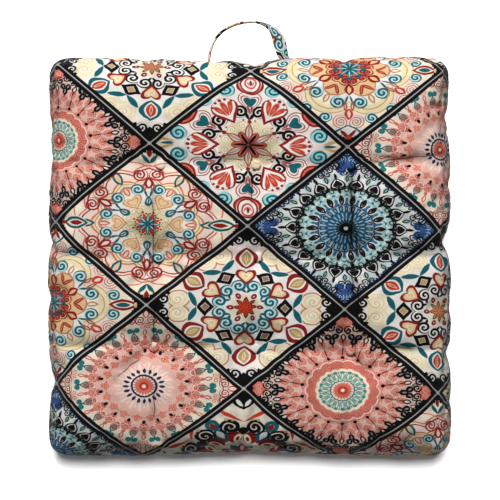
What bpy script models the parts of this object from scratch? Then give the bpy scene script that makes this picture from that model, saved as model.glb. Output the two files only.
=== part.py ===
"""A square tufted meditation cushion with a hand loop, lying on its back.

The face looks up along +Z, the hand loop lies at +Y, and the underside rests on z = 0.
Sizes are in metres.
"""
import math
from collections import namedtuple

import bmesh
import bpy
from mathutils import Vector
from mathutils.bvhtree import BVHTree

# Cushion body
WIDTH = 0.602                # seam to seam, side to side
LENGTH = 0.596               # seam to seam, bottom edge to loop edge
THICKNESS = 0.120            # floor to the highest crown
WALL_HEIGHT = 0.074          # from one rim seam to the other
WALL_BULGE = 0.0055          # how far the filled wall stands out past the seams
CORNER_RADIUS = 0.019        # of the outline, seen from above
SHOULDER = 0.062             # from the rim seam in to where the crown is reached
SHOULDER_POWER = 2.1         # 2 is a quarter circle, more is boxier
CROWN_FALL = 0.005           # how much lower the crown is above the edges than in the middle
FLOOR_PRESS = 0.007          # how much of the underside's crown is pressed flat

# Tufts: where each tie pulls the face down, measured from the middle of the cushion
Tuft = namedtuple("Tuft", "row column x y depth")
TUFTS = (
    Tuft("top", "left", -0.137, 0.141, 0.023),
    Tuft("top", "middle", 0.010, 0.141, 0.020),
    Tuft("top", "right", 0.155, 0.141, 0.022),
    Tuft("middle", "left", -0.1395, -0.002, 0.021),
    Tuft("middle", "middle", 0.013, -0.001, 0.022),
    Tuft("middle", "right", 0.155, -0.001, 0.027),
    Tuft("bottom", "left", -0.147, -0.139, 0.023),
    Tuft("bottom", "middle", 0.009, -0.141, 0.021),
    Tuft("bottom", "right", 0.155, -0.144, 0.025),
)
TUFT_ROWS = ("bottom", "middle", "top")
TUFT_COLUMNS = ("left", "middle", "right")
TUFT_FLOOR = 0.0090          # radius of the flat place under a button
TUFT_SPREAD = 0.021          # how quickly the cloth rises away from it
BACK_TUFT_SHARE = 0.75       # the underside's tufts, as a share of the face's depth

# Valleys between the tufts, by the column or row that they follow
COLUMN_VALLEYS = {"left": 0.0085, "middle": 0.0070, "right": 0.0120}
ROW_VALLEYS = {"top": 0.0075, "middle": 0.0065, "bottom": 0.0085}
VALLEY_SPREAD = 0.020        # how quickly a valley's sides rise
VALLEY_REST = 0.40           # share of the depth that is lost halfway between two tufts
VALLEY_EDGE = 0.75           # share of the depth that is lost on the way out to the rim

# Places where the sewn edge is drawn in: side, place along it, depth and reach
Pull = namedtuple("Pull", "side at depth reach")
EDGE_PULLS = (
    Pull("left", 0.175, 0.0050, 0.080),
    Pull("left", -0.195, 0.0055, 0.050),
    Pull("left", 0.020, 0.0015, 0.020),
    Pull("right", 0.215, 0.0060, 0.060),
    Pull("right", 0.022, 0.0065, 0.022),
    Pull("right", -0.150, 0.0045, 0.022),
    Pull("top", -0.060, 0.0050, 0.110),
    Pull("top", 0.010, 0.0040, 0.030),
    Pull("bottom", 0.010, 0.0055, 0.120),
)
PULL_DEPTH_IN = 0.090        # how far in from the edge a pull is felt

# Grid of the cushion's surface
CELLS_PER_SPAN = 9           # between two neighbouring tufts, and out to the rim
CELL_CROWDING = 0.70         # 0 is even, near 1 crowds the cells at the tufts and the rim
WALL_ROWS = 6
CUBE_FACE = 0.999            # a cube point past this lies on the face or the underside

# Covered buttons
BUTTON_RADIUS = 0.0075
BUTTON_HEIGHT = 0.0058
BUTTON_BACK_SHARE = 0.68     # the flat back's radius, as a share of the button's
BUTTON_BRIM_SHARE = 0.35     # how high up the button is widest, as a share of its height
DOME_ANGLES = (0, 35, 65, 90)
BUTTON_STEPS = 12
GAP = 0.0003                 # between pieces that touch

# Hand loop: its middle line, outwards from the wall, and its turn about that line
LoopPoint = namedtuple("LoopPoint", "x out turn")
LOOP = (
    LoopPoint(-0.0625, 0.0030, 0),
    LoopPoint(-0.0605, 0.0180, 0),
    LoopPoint(-0.0540, 0.0340, 0),
    LoopPoint(-0.0410, 0.0485, 0),
    LoopPoint(-0.0210, 0.0585, 0),
    LoopPoint(0.0010, 0.0620, 0),
    LoopPoint(0.0200, 0.0590, 8),
    LoopPoint(0.0350, 0.0500, 28),
    LoopPoint(0.0440, 0.0370, 48),
    LoopPoint(0.0480, 0.0230, 52),
    LoopPoint(0.0515, 0.0110, 42),
    LoopPoint(0.0560, 0.0030, 30),
)
LOOP_STEPS = 4               # sections between two points of the loop
STRAP_WIDTH = 0.025
STRAP_THICKNESS = 0.0044
FOOT_SPREAD = 0.008          # how far aside of a foot's middle the wall is felt for

# Finishes: colour, roughness
CLOTH = ((0.62, 0.40, 0.33, 1.0), 0.85)
STRAP_CLOTH = ((0.16, 0.22, 0.23, 1.0), 0.85)
BUTTON_CLOTH = ((0.74, 0.60, 0.44, 1.0), 0.80)

HALF_WIDTH = WIDTH / 2
HALF_LENGTH = LENGTH / 2
HALF_THICKNESS = THICKNESS / 2
SEAM_HEIGHT = WALL_HEIGHT / 2
SPANS = len(TUFT_ROWS) + 1


def clear_scene():
    for obj in list(bpy.data.objects):
        bpy.data.objects.remove(obj, do_unlink=True)


def make_material(name, finish):
    colour, roughness = finish
    material = bpy.data.materials.new(name)
    material.use_nodes = True
    shader = material.node_tree.nodes["Principled BSDF"]
    shader.inputs["Base Color"].default_value = colour
    shader.inputs["Roughness"].default_value = roughness
    shader.inputs["Metallic"].default_value = 0.0
    return material


def tuft_at(column, row):
    """The tuft of a lattice place, counted 1 to 3 from the left and from the bottom."""
    for tuft in TUFTS:
        if tuft.column == TUFT_COLUMNS[column - 1] and tuft.row == TUFT_ROWS[row - 1]:
            return tuft
    raise ValueError("no tuft at %d, %d" % (column, row))


def lattice_point(column, row):
    """A tuft, or the place on the rim that a column or row of tufts points to."""
    inner_column = min(max(column, 1), SPANS - 1)
    inner_row = min(max(row, 1), SPANS - 1)
    tuft = tuft_at(inner_column, inner_row)
    x = tuft.x if column == inner_column else math.copysign(HALF_WIDTH, column - inner_column)
    y = tuft.y if row == inner_row else math.copysign(HALF_LENGTH, row - inner_row)
    return Vector((x, y))


def crowded(share):
    """Moves a place between two lattice points towards the nearer one."""
    return share - CELL_CROWDING * math.sin(2 * math.pi * share) / (2 * math.pi)


def plan_point(u, v):
    """The place on the flat rounded square of a cube point u, v, both from -1 to 1."""
    along_x = (u + 1) / 2 * SPANS
    along_y = (v + 1) / 2 * SPANS
    column = min(int(along_x), SPANS - 1)
    row = min(int(along_y), SPANS - 1)
    share_x = crowded(along_x - column)
    share_y = crowded(along_y - row)
    lower = lattice_point(column, row).lerp(lattice_point(column + 1, row), share_x)
    upper = lattice_point(column, row + 1).lerp(lattice_point(column + 1, row + 1), share_x)
    return round_corner(lower.lerp(upper, share_y))


def round_corner(point):
    """Bends the square's corner region into a quarter disc."""
    corner_x = (abs(point.x) - (HALF_WIDTH - CORNER_RADIUS)) / CORNER_RADIUS
    corner_y = (abs(point.y) - (HALF_LENGTH - CORNER_RADIUS)) / CORNER_RADIUS
    if corner_x <= 0 or corner_y <= 0:
        return point
    disc_x = corner_x * math.sqrt(1 - corner_y ** 2 / 2)
    disc_y = corner_y * math.sqrt(1 - corner_x ** 2 / 2)
    x = HALF_WIDTH - CORNER_RADIUS + CORNER_RADIUS * disc_x
    y = HALF_LENGTH - CORNER_RADIUS + CORNER_RADIUS * disc_y
    return Vector((math.copysign(x, point.x), math.copysign(y, point.y)))


def outward(point):
    """The direction in which the outline faces at a point on it."""
    corner = Vector((HALF_WIDTH - CORNER_RADIUS, HALF_LENGTH - CORNER_RADIUS))
    reach = Vector((max(abs(point.x) - corner.x, 0), max(abs(point.y) - corner.y, 0)))
    if min(reach) > 0:
        direction = reach.normalized()
    elif reach.x > reach.y:
        direction = Vector((1, 0))
    else:
        direction = Vector((0, 1))
    return Vector((math.copysign(direction.x, point.x), math.copysign(direction.y, point.y)))


def drawn_in(point):
    """The plan point moved inwards by the pulls of the sewn edge near it."""
    moved = point.copy()
    sides = {
        "left": (Vector((1, 0)), HALF_WIDTH + point.x, point.y),
        "right": (Vector((-1, 0)), HALF_WIDTH - point.x, point.y),
        "top": (Vector((0, -1)), HALF_LENGTH - point.y, point.x),
        "bottom": (Vector((0, 1)), HALF_LENGTH + point.y, point.x),
    }
    for pull in EDGE_PULLS:
        direction, inside, along = sides[pull.side]
        fade = max(0, 1 - inside / PULL_DEPTH_IN) ** 2
        moved += direction * pull.depth * fade * math.exp(-((along - pull.at) / pull.reach) ** 2)
    return moved


def rim_rise(inside):
    """0 at the rim seam and 1 where the crown is reached, as a quarter of a superellipse."""
    share = min(max(inside / SHOULDER, 0), 1)
    return (1 - (1 - share) ** SHOULDER_POWER) ** (1 / SHOULDER_POWER)


def crown_height(x, y):
    """Height of the untufted face above the cushion's middle plane."""
    rise = rim_rise(HALF_WIDTH - abs(x)) * rim_rise(HALF_LENGTH - abs(y))
    from_middle = max(abs(x) / HALF_WIDTH, abs(y) / HALF_LENGTH)
    top = HALF_THICKNESS - CROWN_FALL * from_middle ** 2
    return SEAM_HEIGHT + (top - SEAM_HEIGHT) * rise


def valley_lines():
    """Every stretch from a tuft to its neighbour or out to the rim, with its depth."""
    lines = []
    for column in range(1, SPANS):
        for row in range(1, SPANS):
            tuft = lattice_point(column, row)
            across = ROW_VALLEYS[TUFT_ROWS[row - 1]]
            along = COLUMN_VALLEYS[TUFT_COLUMNS[column - 1]]
            lines.append((tuft, lattice_point(column + 1, row), across, column == SPANS - 1))
            lines.append((tuft, lattice_point(column, row + 1), along, row == SPANS - 1))
            if column == 1:
                lines.append((tuft, lattice_point(0, row), across, True))
            if row == 1:
                lines.append((tuft, lattice_point(column, 0), along, True))
    return lines


VALLEYS = valley_lines()


def valley_depth(x, y):
    """Depth of the deepest valley at a place on the face."""
    deepest = 0
    here = Vector((x, y))
    for start, end, depth, to_rim in VALLEYS:
        line = end - start
        share = min(max((here - start).dot(line) / line.length_squared, 0), 1)
        distance = (here - start - line * share).length
        if to_rim:
            kept = 1 - VALLEY_EDGE * share
        else:
            kept = 1 - VALLEY_REST * math.sin(math.pi * share)
        deepest = max(deepest, depth * kept * math.exp(-distance / VALLEY_SPREAD))
    return deepest


def tuft_floor(tuft, depth_share):
    return crown_height(tuft.x, tuft.y) - tuft.depth * depth_share


def side_height(x, y, depth_share):
    """Height of the tufted face above the middle plane, flat under each button."""
    height = crown_height(x, y)
    inside = min(HALF_WIDTH - abs(x), HALF_LENGTH - abs(y))
    height -= valley_depth(x, y) * depth_share * rim_rise(inside)
    strongest = 0
    floor = 0
    for tuft in TUFTS:
        distance = math.hypot(x - tuft.x, y - tuft.y)
        hold = math.exp(-max(0, distance - TUFT_FLOOR) / TUFT_SPREAD)
        if hold > strongest:
            strongest = hold
            floor = tuft_floor(tuft, depth_share)
    return height + (floor - height) * strongest


def cushion_point(u, v, w):
    """Where a point of the cube from -1 to 1 goes on the filled cushion."""
    plan = plan_point(u, v)
    placed = drawn_in(plan)
    if abs(w) < CUBE_FACE:
        placed += outward(plan) * WALL_BULGE * (1 - w * w)
        return Vector((placed.x, placed.y, HALF_THICKNESS + SEAM_HEIGHT * w))
    if w > 0:
        return Vector((placed.x, placed.y, HALF_THICKNESS + side_height(plan.x, plan.y, 1)))
    height = side_height(plan.x, plan.y, BACK_TUFT_SHARE)
    pressed = FLOOR_PRESS * rim_rise(HALF_WIDTH - abs(plan.x)) * rim_rise(HALF_LENGTH - abs(plan.y))
    return Vector((placed.x, placed.y, max(0, HALF_THICKNESS - height - pressed)))


def subdivide_along(mesh, axis, cells):
    """Cuts every edge of the cube that runs along one axis into equal lengths."""
    edges = [edge for edge in mesh.edges
             if abs((edge.verts[1].co - edge.verts[0].co).normalized()[axis]) > CUBE_FACE]
    bmesh.ops.subdivide_edges(mesh, edges=edges, cuts=cells - 1, use_grid_fill=True)


def make_cushion():
    mesh = bmesh.new()
    bmesh.ops.create_cube(mesh, size=2)
    subdivide_along(mesh, 0, SPANS * CELLS_PER_SPAN)
    subdivide_along(mesh, 1, SPANS * CELLS_PER_SPAN)
    subdivide_along(mesh, 2, WALL_ROWS)
    for vertex in mesh.verts:
        vertex.co = cushion_point(*vertex.co)
    bmesh.ops.recalc_face_normals(mesh, faces=mesh.faces)
    data = bpy.data.meshes.new("cushion")
    mesh.to_mesh(data)
    mesh.free()
    data.shade_smooth()
    return bpy.data.objects.new("cushion", data)


def button_profile():
    """Half of the button's section, from the top of its dome down to its flat back."""
    brim = BUTTON_HEIGHT * BUTTON_BRIM_SHARE
    dome = [(BUTTON_RADIUS * math.sin(math.radians(angle)),
             brim + (BUTTON_HEIGHT - brim) * math.cos(math.radians(angle)))
            for angle in DOME_ANGLES]
    return dome + [(BUTTON_RADIUS * BUTTON_BACK_SHARE, 0), (0, 0)]


def make_button(name, mesh, tuft, on_face):
    button = bpy.data.objects.new(name, mesh)
    screw = button.modifiers.new("Turn", "SCREW")
    screw.axis = "Z"
    screw.steps = BUTTON_STEPS
    screw.render_steps = BUTTON_STEPS
    screw.use_merge_vertices = True
    screw.merge_threshold = 0.00001
    if on_face:
        seat = HALF_THICKNESS + tuft_floor(tuft, 1)
        button.location = (tuft.x, tuft.y, seat + GAP)
    else:
        seat = HALF_THICKNESS - tuft_floor(tuft, BACK_TUFT_SHARE) - FLOOR_PRESS
        button.location = (tuft.x, tuft.y, seat - GAP)
        button.rotation_euler = (math.pi, 0, 0)
    return button


def make_buttons():
    profile = button_profile()
    mesh = bpy.data.meshes.new("button_profile")
    vertices = [(x, 0, z) for x, z in profile]
    edges = [(index, index + 1) for index in range(len(profile) - 1)]
    mesh.from_pydata(vertices, edges, [])
    buttons = []
    for number, tuft in enumerate(TUFTS, start=1):
        buttons.append(make_button("button_face_%d" % number, mesh, tuft, True))
        buttons.append(make_button("button_back_%d" % number, mesh, tuft, False))
    return buttons


def wall_front(cushion, foot):
    """How far out the loop side's wall reaches under a foot of the strap."""
    wall = BVHTree.FromPolygons([vertex.co for vertex in cushion.data.vertices],
                                [face.vertices for face in cushion.data.polygons])
    fronts = []
    for aside in (-1, 0, 1):
        for above in (-1, 0, 1):
            start = Vector((foot.x + aside * FOOT_SPREAD, LENGTH,
                            HALF_THICKNESS + above * STRAP_WIDTH / 2))
            hit = wall.ray_cast(start, Vector((0, -1, 0)))[0]
            fronts.append(hit.y)
    return max(fronts)


def smooth_between(before, start, end, after, share):
    """A Catmull-Rom curve through start and end."""
    return 0.5 * (
        2 * start + (end - before) * share
        + (2 * before - 5 * start + 4 * end - after) * share ** 2
        + (3 * start - before - 3 * end + after) * share ** 3
    )


def loop_sections(cushion):
    """Points along the loop's middle line with their turns, smoothed between LOOP's rows.

    A short straight foot at each end stands square on the wall.
    """
    left_wall = wall_front(cushion, LOOP[0]) + GAP
    right_wall = wall_front(cushion, LOOP[-1]) + GAP
    last = len(LOOP) - 1
    rows = []
    for index, point in enumerate(LOOP):
        wall = left_wall + (right_wall - left_wall) * index / last
        rows.append(Vector((point.x, wall + point.out, math.radians(point.turn))))
    sections = [Vector((rows[0].x, left_wall, rows[0].z))]
    for index in range(last):
        before = rows[max(index - 1, 0)]
        after = rows[min(index + 2, last)]
        for step in range(LOOP_STEPS):
            share = step / LOOP_STEPS
            sections.append(smooth_between(before, rows[index], rows[index + 1], after, share))
    return sections + [rows[last], Vector((rows[last].x, right_wall, rows[last].z))]


def make_handle(cushion):
    """The strap as a flat ribbon with round edges, its width across the cushion's wall."""
    curve = bpy.data.curves.new("handle", "CURVE")
    curve.dimensions = "3D"
    curve.twist_mode = "Z_UP"
    curve.extrude = (STRAP_WIDTH - STRAP_THICKNESS) / 2
    curve.bevel_depth = STRAP_THICKNESS / 2
    curve.bevel_resolution = 1
    curve.use_fill_caps = True
    curve.render_resolution_u = 0
    sections = loop_sections(cushion)
    spline = curve.splines.new("POLY")
    spline.points.add(len(sections) - 1)
    for point, section in zip(spline.points, sections):
        point.co = (section.x, section.y, HALF_THICKNESS, 1)
        point.tilt = section.z
    return bpy.data.objects.new("handle", curve)


def centre_on_floor(origin, parts):
    """Moves everything so that the middle of the whole outline stands over the origin."""
    bpy.context.view_layer.update()
    graph = bpy.context.evaluated_depsgraph_get()
    points = []
    for part in parts:
        evaluated = part.evaluated_get(graph)
        points += [evaluated.matrix_world @ vertex.co for vertex in evaluated.to_mesh().vertices]
        evaluated.to_mesh_clear()
    middle_x = (min(point.x for point in points) + max(point.x for point in points)) / 2
    middle_y = (min(point.y for point in points) + max(point.y for point in points)) / 2
    origin.location = (-middle_x, -middle_y, 0)


def main():
    clear_scene()
    collection = bpy.data.collections.new("meditation_cushion")
    bpy.context.scene.collection.children.link(collection)
    origin = bpy.data.objects.new("middle_of_cushion", None)
    collection.objects.link(origin)

    cushion = make_cushion()
    cushion.data.materials.append(make_material("printed_cloth", CLOTH))
    handle = make_handle(cushion)
    handle.data.materials.append(make_material("strap_cloth", STRAP_CLOTH))
    buttons = make_buttons()
    buttons[0].data.materials.append(make_material("button_cloth", BUTTON_CLOTH))

    parts = [cushion, handle] + buttons
    for part in parts:
        collection.objects.link(part)
        part.parent = origin
    centre_on_floor(origin, parts)


main()
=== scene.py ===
"""The looks of a square tufted meditation cushion in a printed cloth cover.

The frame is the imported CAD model. Lengths are in metres and +Z is up. The print's motifs are
measured in hundredths of a diamond's half diagonal, and its lines across the cloth in millimetres.
"""
import math
from collections import namedtuple
from functools import partial

import bmesh
import bpy
import numpy as np
from bpy.props import FloatProperty, FloatVectorProperty, IntProperty, PointerProperty
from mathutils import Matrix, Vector


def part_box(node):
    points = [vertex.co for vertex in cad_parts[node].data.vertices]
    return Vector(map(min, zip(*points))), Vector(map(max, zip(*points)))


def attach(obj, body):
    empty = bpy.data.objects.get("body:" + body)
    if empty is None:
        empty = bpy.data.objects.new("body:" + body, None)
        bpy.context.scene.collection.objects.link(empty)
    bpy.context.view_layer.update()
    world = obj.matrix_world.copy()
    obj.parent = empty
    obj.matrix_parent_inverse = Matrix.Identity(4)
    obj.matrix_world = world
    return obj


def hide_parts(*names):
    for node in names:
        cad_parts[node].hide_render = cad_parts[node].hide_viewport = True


bl_info = {
    "name": "Tufted Meditation Cushion",
    "version": (1, 0, 0),
    "blender": (4, 5, 0),
    "location": "View3D > Sidebar > Cushion",
    "description": "Makes the printed cover, covered buttons and hand loop of a tufted floor cushion",
    "category": "Object",
}

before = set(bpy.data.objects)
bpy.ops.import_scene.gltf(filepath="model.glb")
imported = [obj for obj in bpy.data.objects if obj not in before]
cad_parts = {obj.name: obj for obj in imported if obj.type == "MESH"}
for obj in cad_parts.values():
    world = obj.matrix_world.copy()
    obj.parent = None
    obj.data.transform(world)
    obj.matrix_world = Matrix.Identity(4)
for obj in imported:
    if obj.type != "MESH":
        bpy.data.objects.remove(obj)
bpy.context.view_layer.update()

# Cushion, measured from the middle of its face
CENTRE_Y = -0.0306           # of the face; the frame's middle has the hand loop in it
HALF_WIDTH = 0.301
HALF_LENGTH = 0.298
HALF_THICKNESS = 0.060
SEAM_HEIGHT = 0.037          # of a rim seam above or below the middle plane
WALL_BULGE = 0.0055
CORNER_RADIUS = 0.019
SHOULDER = 0.062
SHOULDER_POWER = 2.1
CROWN_FALL = 0.005
FLOOR_PRESS = 0.007
CUBE_FACE = 0.999            # a cube point past this lies on one of its faces
RIM_CROWDING = 0.2           # how much closer the cover's cells are at the rim
CLOTH_OVER_RIM = 0.008       # how much more cloth than plan lies over the rim's curve
TINY = 1e-9

# Tufts: column, row, x, y, depth
Tuft = namedtuple("Tuft", "column row x y depth")
TUFTS = (
    Tuft(0, 2, -0.137, 0.141, 0.023),
    Tuft(1, 2, 0.010, 0.141, 0.020),
    Tuft(2, 2, 0.155, 0.141, 0.022),
    Tuft(0, 1, -0.1395, -0.002, 0.021),
    Tuft(1, 1, 0.013, -0.001, 0.022),
    Tuft(2, 1, 0.155, -0.001, 0.027),
    Tuft(0, 0, -0.147, -0.139, 0.023),
    Tuft(1, 0, 0.009, -0.141, 0.021),
    Tuft(2, 0, 0.155, -0.144, 0.025),
)
TUFT_FLOOR = 0.0090
TUFT_SPREAD = 0.021
TUFT_CALM = 0.030            # within which the filling hardly moves the cloth
BACK_TUFT_SHARE = 0.75
BUTTON_RADIUS = 0.0075
BUTTON_BRIM = 0.35           # how high up a button is widest, as a share of its height
BUTTON_BACK = 0.68           # the flat back's radius, as a share of the button's
BUTTON_GATHERS = 0.014
BUTTON_DENT = 0.05
BUTTON_SCRAPS = {2: (0.086, -0.219), 7: (0.012, 0.006)}  # buttons cut from elsewhere on the print
COLUMN_VALLEYS = (0.0085, 0.0070, 0.0120)
ROW_VALLEYS = (0.0085, 0.0065, 0.0075)
VALLEY_SPREAD = 0.020
VALLEY_REST = 0.40
VALLEY_EDGE = 0.75

# Places where the sewn edge is drawn in: side, place along it, depth and reach
Pull = namedtuple("Pull", "side at depth reach")
EDGE_PULLS = (
    Pull("left", 0.175, 0.0050, 0.080),
    Pull("left", -0.195, 0.0055, 0.050),
    Pull("left", 0.020, 0.0015, 0.020),
    Pull("right", 0.215, 0.0060, 0.060),
    Pull("right", 0.022, 0.0065, 0.022),
    Pull("right", -0.150, 0.0045, 0.022),
    Pull("top", -0.060, 0.0050, 0.110),
    Pull("top", 0.010, 0.0040, 0.030),
    Pull("bottom", 0.010, 0.0055, 0.120),
)
PULL_DEPTH_IN = 0.090

# Creases of the face: from x, y to x, y, depth and width
Crease = namedtuple("Crease", "x1 y1 x2 y2 depth width")
CREASE_SPREAD = 0.006        # how quickly the cloth rises beside a crease
# the groove depth at which the painted shade of a crease is darkest
DEEPEST_GROOVE = 0.0044
TUCK_DEPTH = 0.0015          # of a crease's own sharp line
CREASES = (
    Crease(-0.1465, 0.096, -0.1475, -0.042, 0.0012, 0.0011),
    Crease(-0.1465, -0.082, -0.1460, -0.130, 0.0014, 0.0011),
    Crease(-0.1460, -0.200, -0.1455, -0.249, 0.0012, 0.0010),
    Crease(0.0040, 0.131, 0.0045, 0.085, 0.0012, 0.0010),
    Crease(0.1560, 0.130, 0.1565, 0.010, 0.0022, 0.0018),
    Crease(0.1565, -0.012, 0.1590, -0.070, 0.0018, 0.0014),
    Crease(0.1630, 0.036, 0.1640, -0.002, 0.0020, 0.0010),
    Crease(0.1650, -0.040, 0.1670, -0.090, 0.0020, 0.0010),
    Crease(-0.0410, 0.1490, -0.0080, 0.1470, 0.0012, 0.0009),
    Crease(0.0220, 0.1475, 0.0410, 0.1490, 0.0012, 0.0009),
    Crease(0.1900, 0.1440, 0.2950, 0.1570, 0.0016, 0.0014),
    Crease(-0.2980, 0.0080, -0.2600, 0.0060, 0.0014, 0.0012),
    Crease(0.2330, 0.0130, 0.2960, 0.0130, 0.0018, 0.0014),
    Crease(-0.1300, -0.1390, -0.0650, -0.1390, 0.0012, 0.0010),
    Crease(0.2100, -0.1370, 0.2500, -0.1420, 0.0018, 0.0016),
    Crease(-0.1650, -0.1530, -0.2040, -0.1870, 0.0010, 0.0009),
    Crease(0.1570, -0.1480, 0.1790, -0.1710, 0.0014, 0.0010),
)

# Hand loop: its middle line, outwards from the wall, and its turn about that line
LoopPoint = namedtuple("LoopPoint", "x out turn")
LOOP = (
    LoopPoint(-0.0625, 0.0030, 0),
    LoopPoint(-0.0605, 0.0180, 0),
    LoopPoint(-0.0540, 0.0340, 0),
    LoopPoint(-0.0410, 0.0485, 0),
    LoopPoint(-0.0210, 0.0585, 0),
    LoopPoint(0.0010, 0.0620, 0),
    LoopPoint(0.0200, 0.0590, 8),
    LoopPoint(0.0350, 0.0500, 28),
    LoopPoint(0.0440, 0.0370, 48),
    LoopPoint(0.0480, 0.0230, 52),
    LoopPoint(0.0515, 0.0110, 42),
    LoopPoint(0.0560, 0.0030, 30),
)
LEFT_WALL = 0.26828          # the wall behind the loop's left and right foot
RIGHT_WALL = 0.27150
LOOP_STEPS = 10
LOOP_CELLS = (96, 14, 2)     # along the strap, across it and through it
STRAP_EDGE = 0.6             # how much thinner the folded strap is at its edges
STITCH_PLACE = 0.80          # of the two rows of stitches, as a share of the half width
STITCH_WIDTH = 0.07
STITCH_DEPTH = 0.22          # as a share of the thickness
STRAP_CRUMPLE = 0.10

# Fine relief of the cloth
GATHER_HEIGHT = 0.0009
GATHER_REACH = 0.016
GATHER_FOLDS = (4, 7, 11)    # around each tuft
CRUMPLE_HEIGHT = 0.00013
CRUMPLE_COUNT = 18
CRUMPLE_PITCHES = (0.018, 0.055)
SEAM_GROOVE = 0.0014
SEAM_WIDTH = 0.0028
RIPPLE_DEPTH = 0.0007
RIPPLE_PITCH = 0.0145
RIPPLE_REACH = 0.012
THREAD_HEIGHT = 0.00004
SLUB_HEIGHT = 0.00016

# Cloth simulation of the filling, and how near a point lies to what holds it
RIM_NEAR = 0.0005
TUFT_NEAR = 0.001
FILLING = {
    "quality": 6, "mass": 0.25, "tension_stiffness": 12, "compression_stiffness": 12,
    "shear_stiffness": 4, "bending_stiffness": 0.15, "use_pressure": True,
    "uniform_pressure_force": 4, "shrink_min": -0.035, "vertex_group_mass": "held",
}

# Camera: how far it is from the print, and the width that it sees there
VIEW_DISTANCE = 6.0
VIEW_WIDTH = 0.770

# Print: diamonds in a lattice, told apart by nine kinds that repeat every third one
DIAMOND_ORIGIN = (0.1478, 0.0431)
DIAMOND_TURN = math.radians(1.3)
DIAMOND_SIDE = 96.0          # mm from a diamond's middle to its side
BAND_HALF = 6.2              # mm
BAND_LINE = 0.85             # mm, half of the pale line along a band
CROSSING = 2.3               # mm, half of the pale knot where two bands cross
BAND_SHARPNESS = 2.0
UNIT = 100.0                 # half a diagonal of a diamond
SHARPNESS = 1.7              # how quickly a motif's edge fades, for each unit
BACK_CLOTH = 1.31            # places on the print that the back and the loop are cut from
LOOP_CLOTH = (3.034, 0.252)
FILLED = 100.0               # a line so wide that it fills its shape
SHAPE = {"Radius": 0.0, "Angle": 0.0, "Slice": 1.0, "Turn": 0.0, "Out": 0.0, "Apart": 0.0,
         "Lean": 0.0, "Long": 1.0, "Wide": 1.0, "Taper": 0.0, "Line": FILLED}

INKS = {
    "black": "070709", "cream": "EADFC8", "white": "E4E0DB", "straw": "E3D3A9", "gold": "B8975D",
    "peach": "DDB686", "tan": "B87C57", "teal": "135862", "aqua": "93CBCE", "red": "861D19",
    "vermilion": "BB3C24", "coral": "CC6855", "pink": "DDA89B", "blush": "E8CFC2",
    "rose": "9C504C", "navy": "1D2A4C", "royal": "31558F", "blue": "2E6C92", "mist": "93B5AE",
    "grey": "A9A7A5", "jade": "368F8A", "brown": "8F6A55", "ice": "BEDADB", "sand": "E3C092",
    "orange": "D0633F", "steel": "8FA9AE",
}

# Motifs: so many around a rosette, turned and set out from its middle, then how long and wide,
# the half width of its line, how far apart the two of a mirrored pair are, and how they lean
Motif = namedtuple("Motif", "form ink count turn out long wide line apart lean taper",
                   defaults=(0, 0, 0, 0))
leaf = partial(Motif, "leaf")
lozenge = partial(Motif, "lozenge")
oval = partial(Motif, "oval")
rim = partial(Motif, "rim")


def heart(ink, count, turn, out, size, line=0, tall=0.72):
    middle = out - math.copysign(0.16 * size, tall)
    return Motif("heart", ink, count, turn, middle, tall * size, 0.96 * size, line)


def scroll(ink, count, turn, out, apart, size, pitch, line):
    return Motif("scroll", ink, count, turn, out, size, pitch, line, apart)


def border(ink, width, bump, pitch, reach=200):
    return Motif("border", ink, 0, 0, width, bump, pitch, 0, reach)


def lace(ink, out, scale, line):
    return Motif("lace", ink, 0, 0, out, scale, 0, line)


def heart_rosette(star, scrolls, wash, arc, lens, almond, square, cloud):
    return (
        oval("cream", 6, 0, 68, 12, 11, apart=8.6),
        oval(cloud, 6, 0, 67, 12, 11, 0.8, apart=8.8),
        oval("straw", 6, 0, 67.5, 8.6, 8.0, 1.1, apart=8.6),
        scroll("gold", 6, 0, 68, 8.0, 5.6, 3.6, 0.35),
        rim("white", 6, 0, 56, -6, 0.6),
        rim("cream", 8, 0, 13, 5, 1.2),
        lace("gold", 17, 420.0, 0.00025),
        rim("black", 8, 0, 7.0, 6.4, 1.0),
        rim(star, 8, 0, 5.6, 5.6, 1.0),
        leaf("red", 8, 0, 5.4, 4.4, 0.5),
        oval("white", 6, 0, 15.8, 4.0, 3.2),
        oval("red", 6, 0, 15.8, 3.8, 2.8, 1.1),
        oval(wash, 6, 30, 26, 7.4, 6.8, apart=7.2),
        scroll(scrolls, 6, 30, 26, 7.2, 7.6, 4.6, 1.35),
        leaf(scrolls, 6, 30, 20.5, 3.6, 1.5, apart=2.4, lean=40),
        lozenge("black", 6, 0, 40.6, 9.2, 12.2),
        lozenge("white", 6, 0, 40.6, 4.4, 5.4),
        lozenge(square, 6, 0, 40.6, 3.8, 4.8),
        leaf("white", 6, 0, 53.0, 11.0, 4.2, apart=9.2, lean=66),
        leaf(arc, 6, 0, 53.0, 10.4, 3.2, apart=9.2, lean=66),
        heart("red", 6, 30, 37.2, 11.2),
        heart("sand", 6, 30, 37.8, 7.8),
        heart("cream", 6, 30, 38.4, 4.6, 0.7),
        leaf("white", 6, 30, 60.5, 14, 13.6),
        leaf(lens, 6, 30, 60.5, 12.8, 12.4),
        leaf("white", 6, 30, 60.5, 10.2, 7.2),
        leaf(almond, 6, 30, 60.5, 8.6, 5.2),
        leaf("cream", 6, 30, 60.5, 6.0, 1.6, 0.3),
        border("black", 6.0, 4.6, 11.0, 42),
        oval("white", 4, 0, 86, 10, 14),
        scroll("black", 4, 0, 81.5, 8.4, 6.8, 3.9, 1.3),
        leaf("black", 4, 0, 91, 11, 6.8),
        oval("black", 4, 0, 86, 1.9, 1.9, apart=4.6),
        leaf("black", 4, 0, 90, 8, 1.6, apart=7.0, lean=-42),
    )


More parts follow.
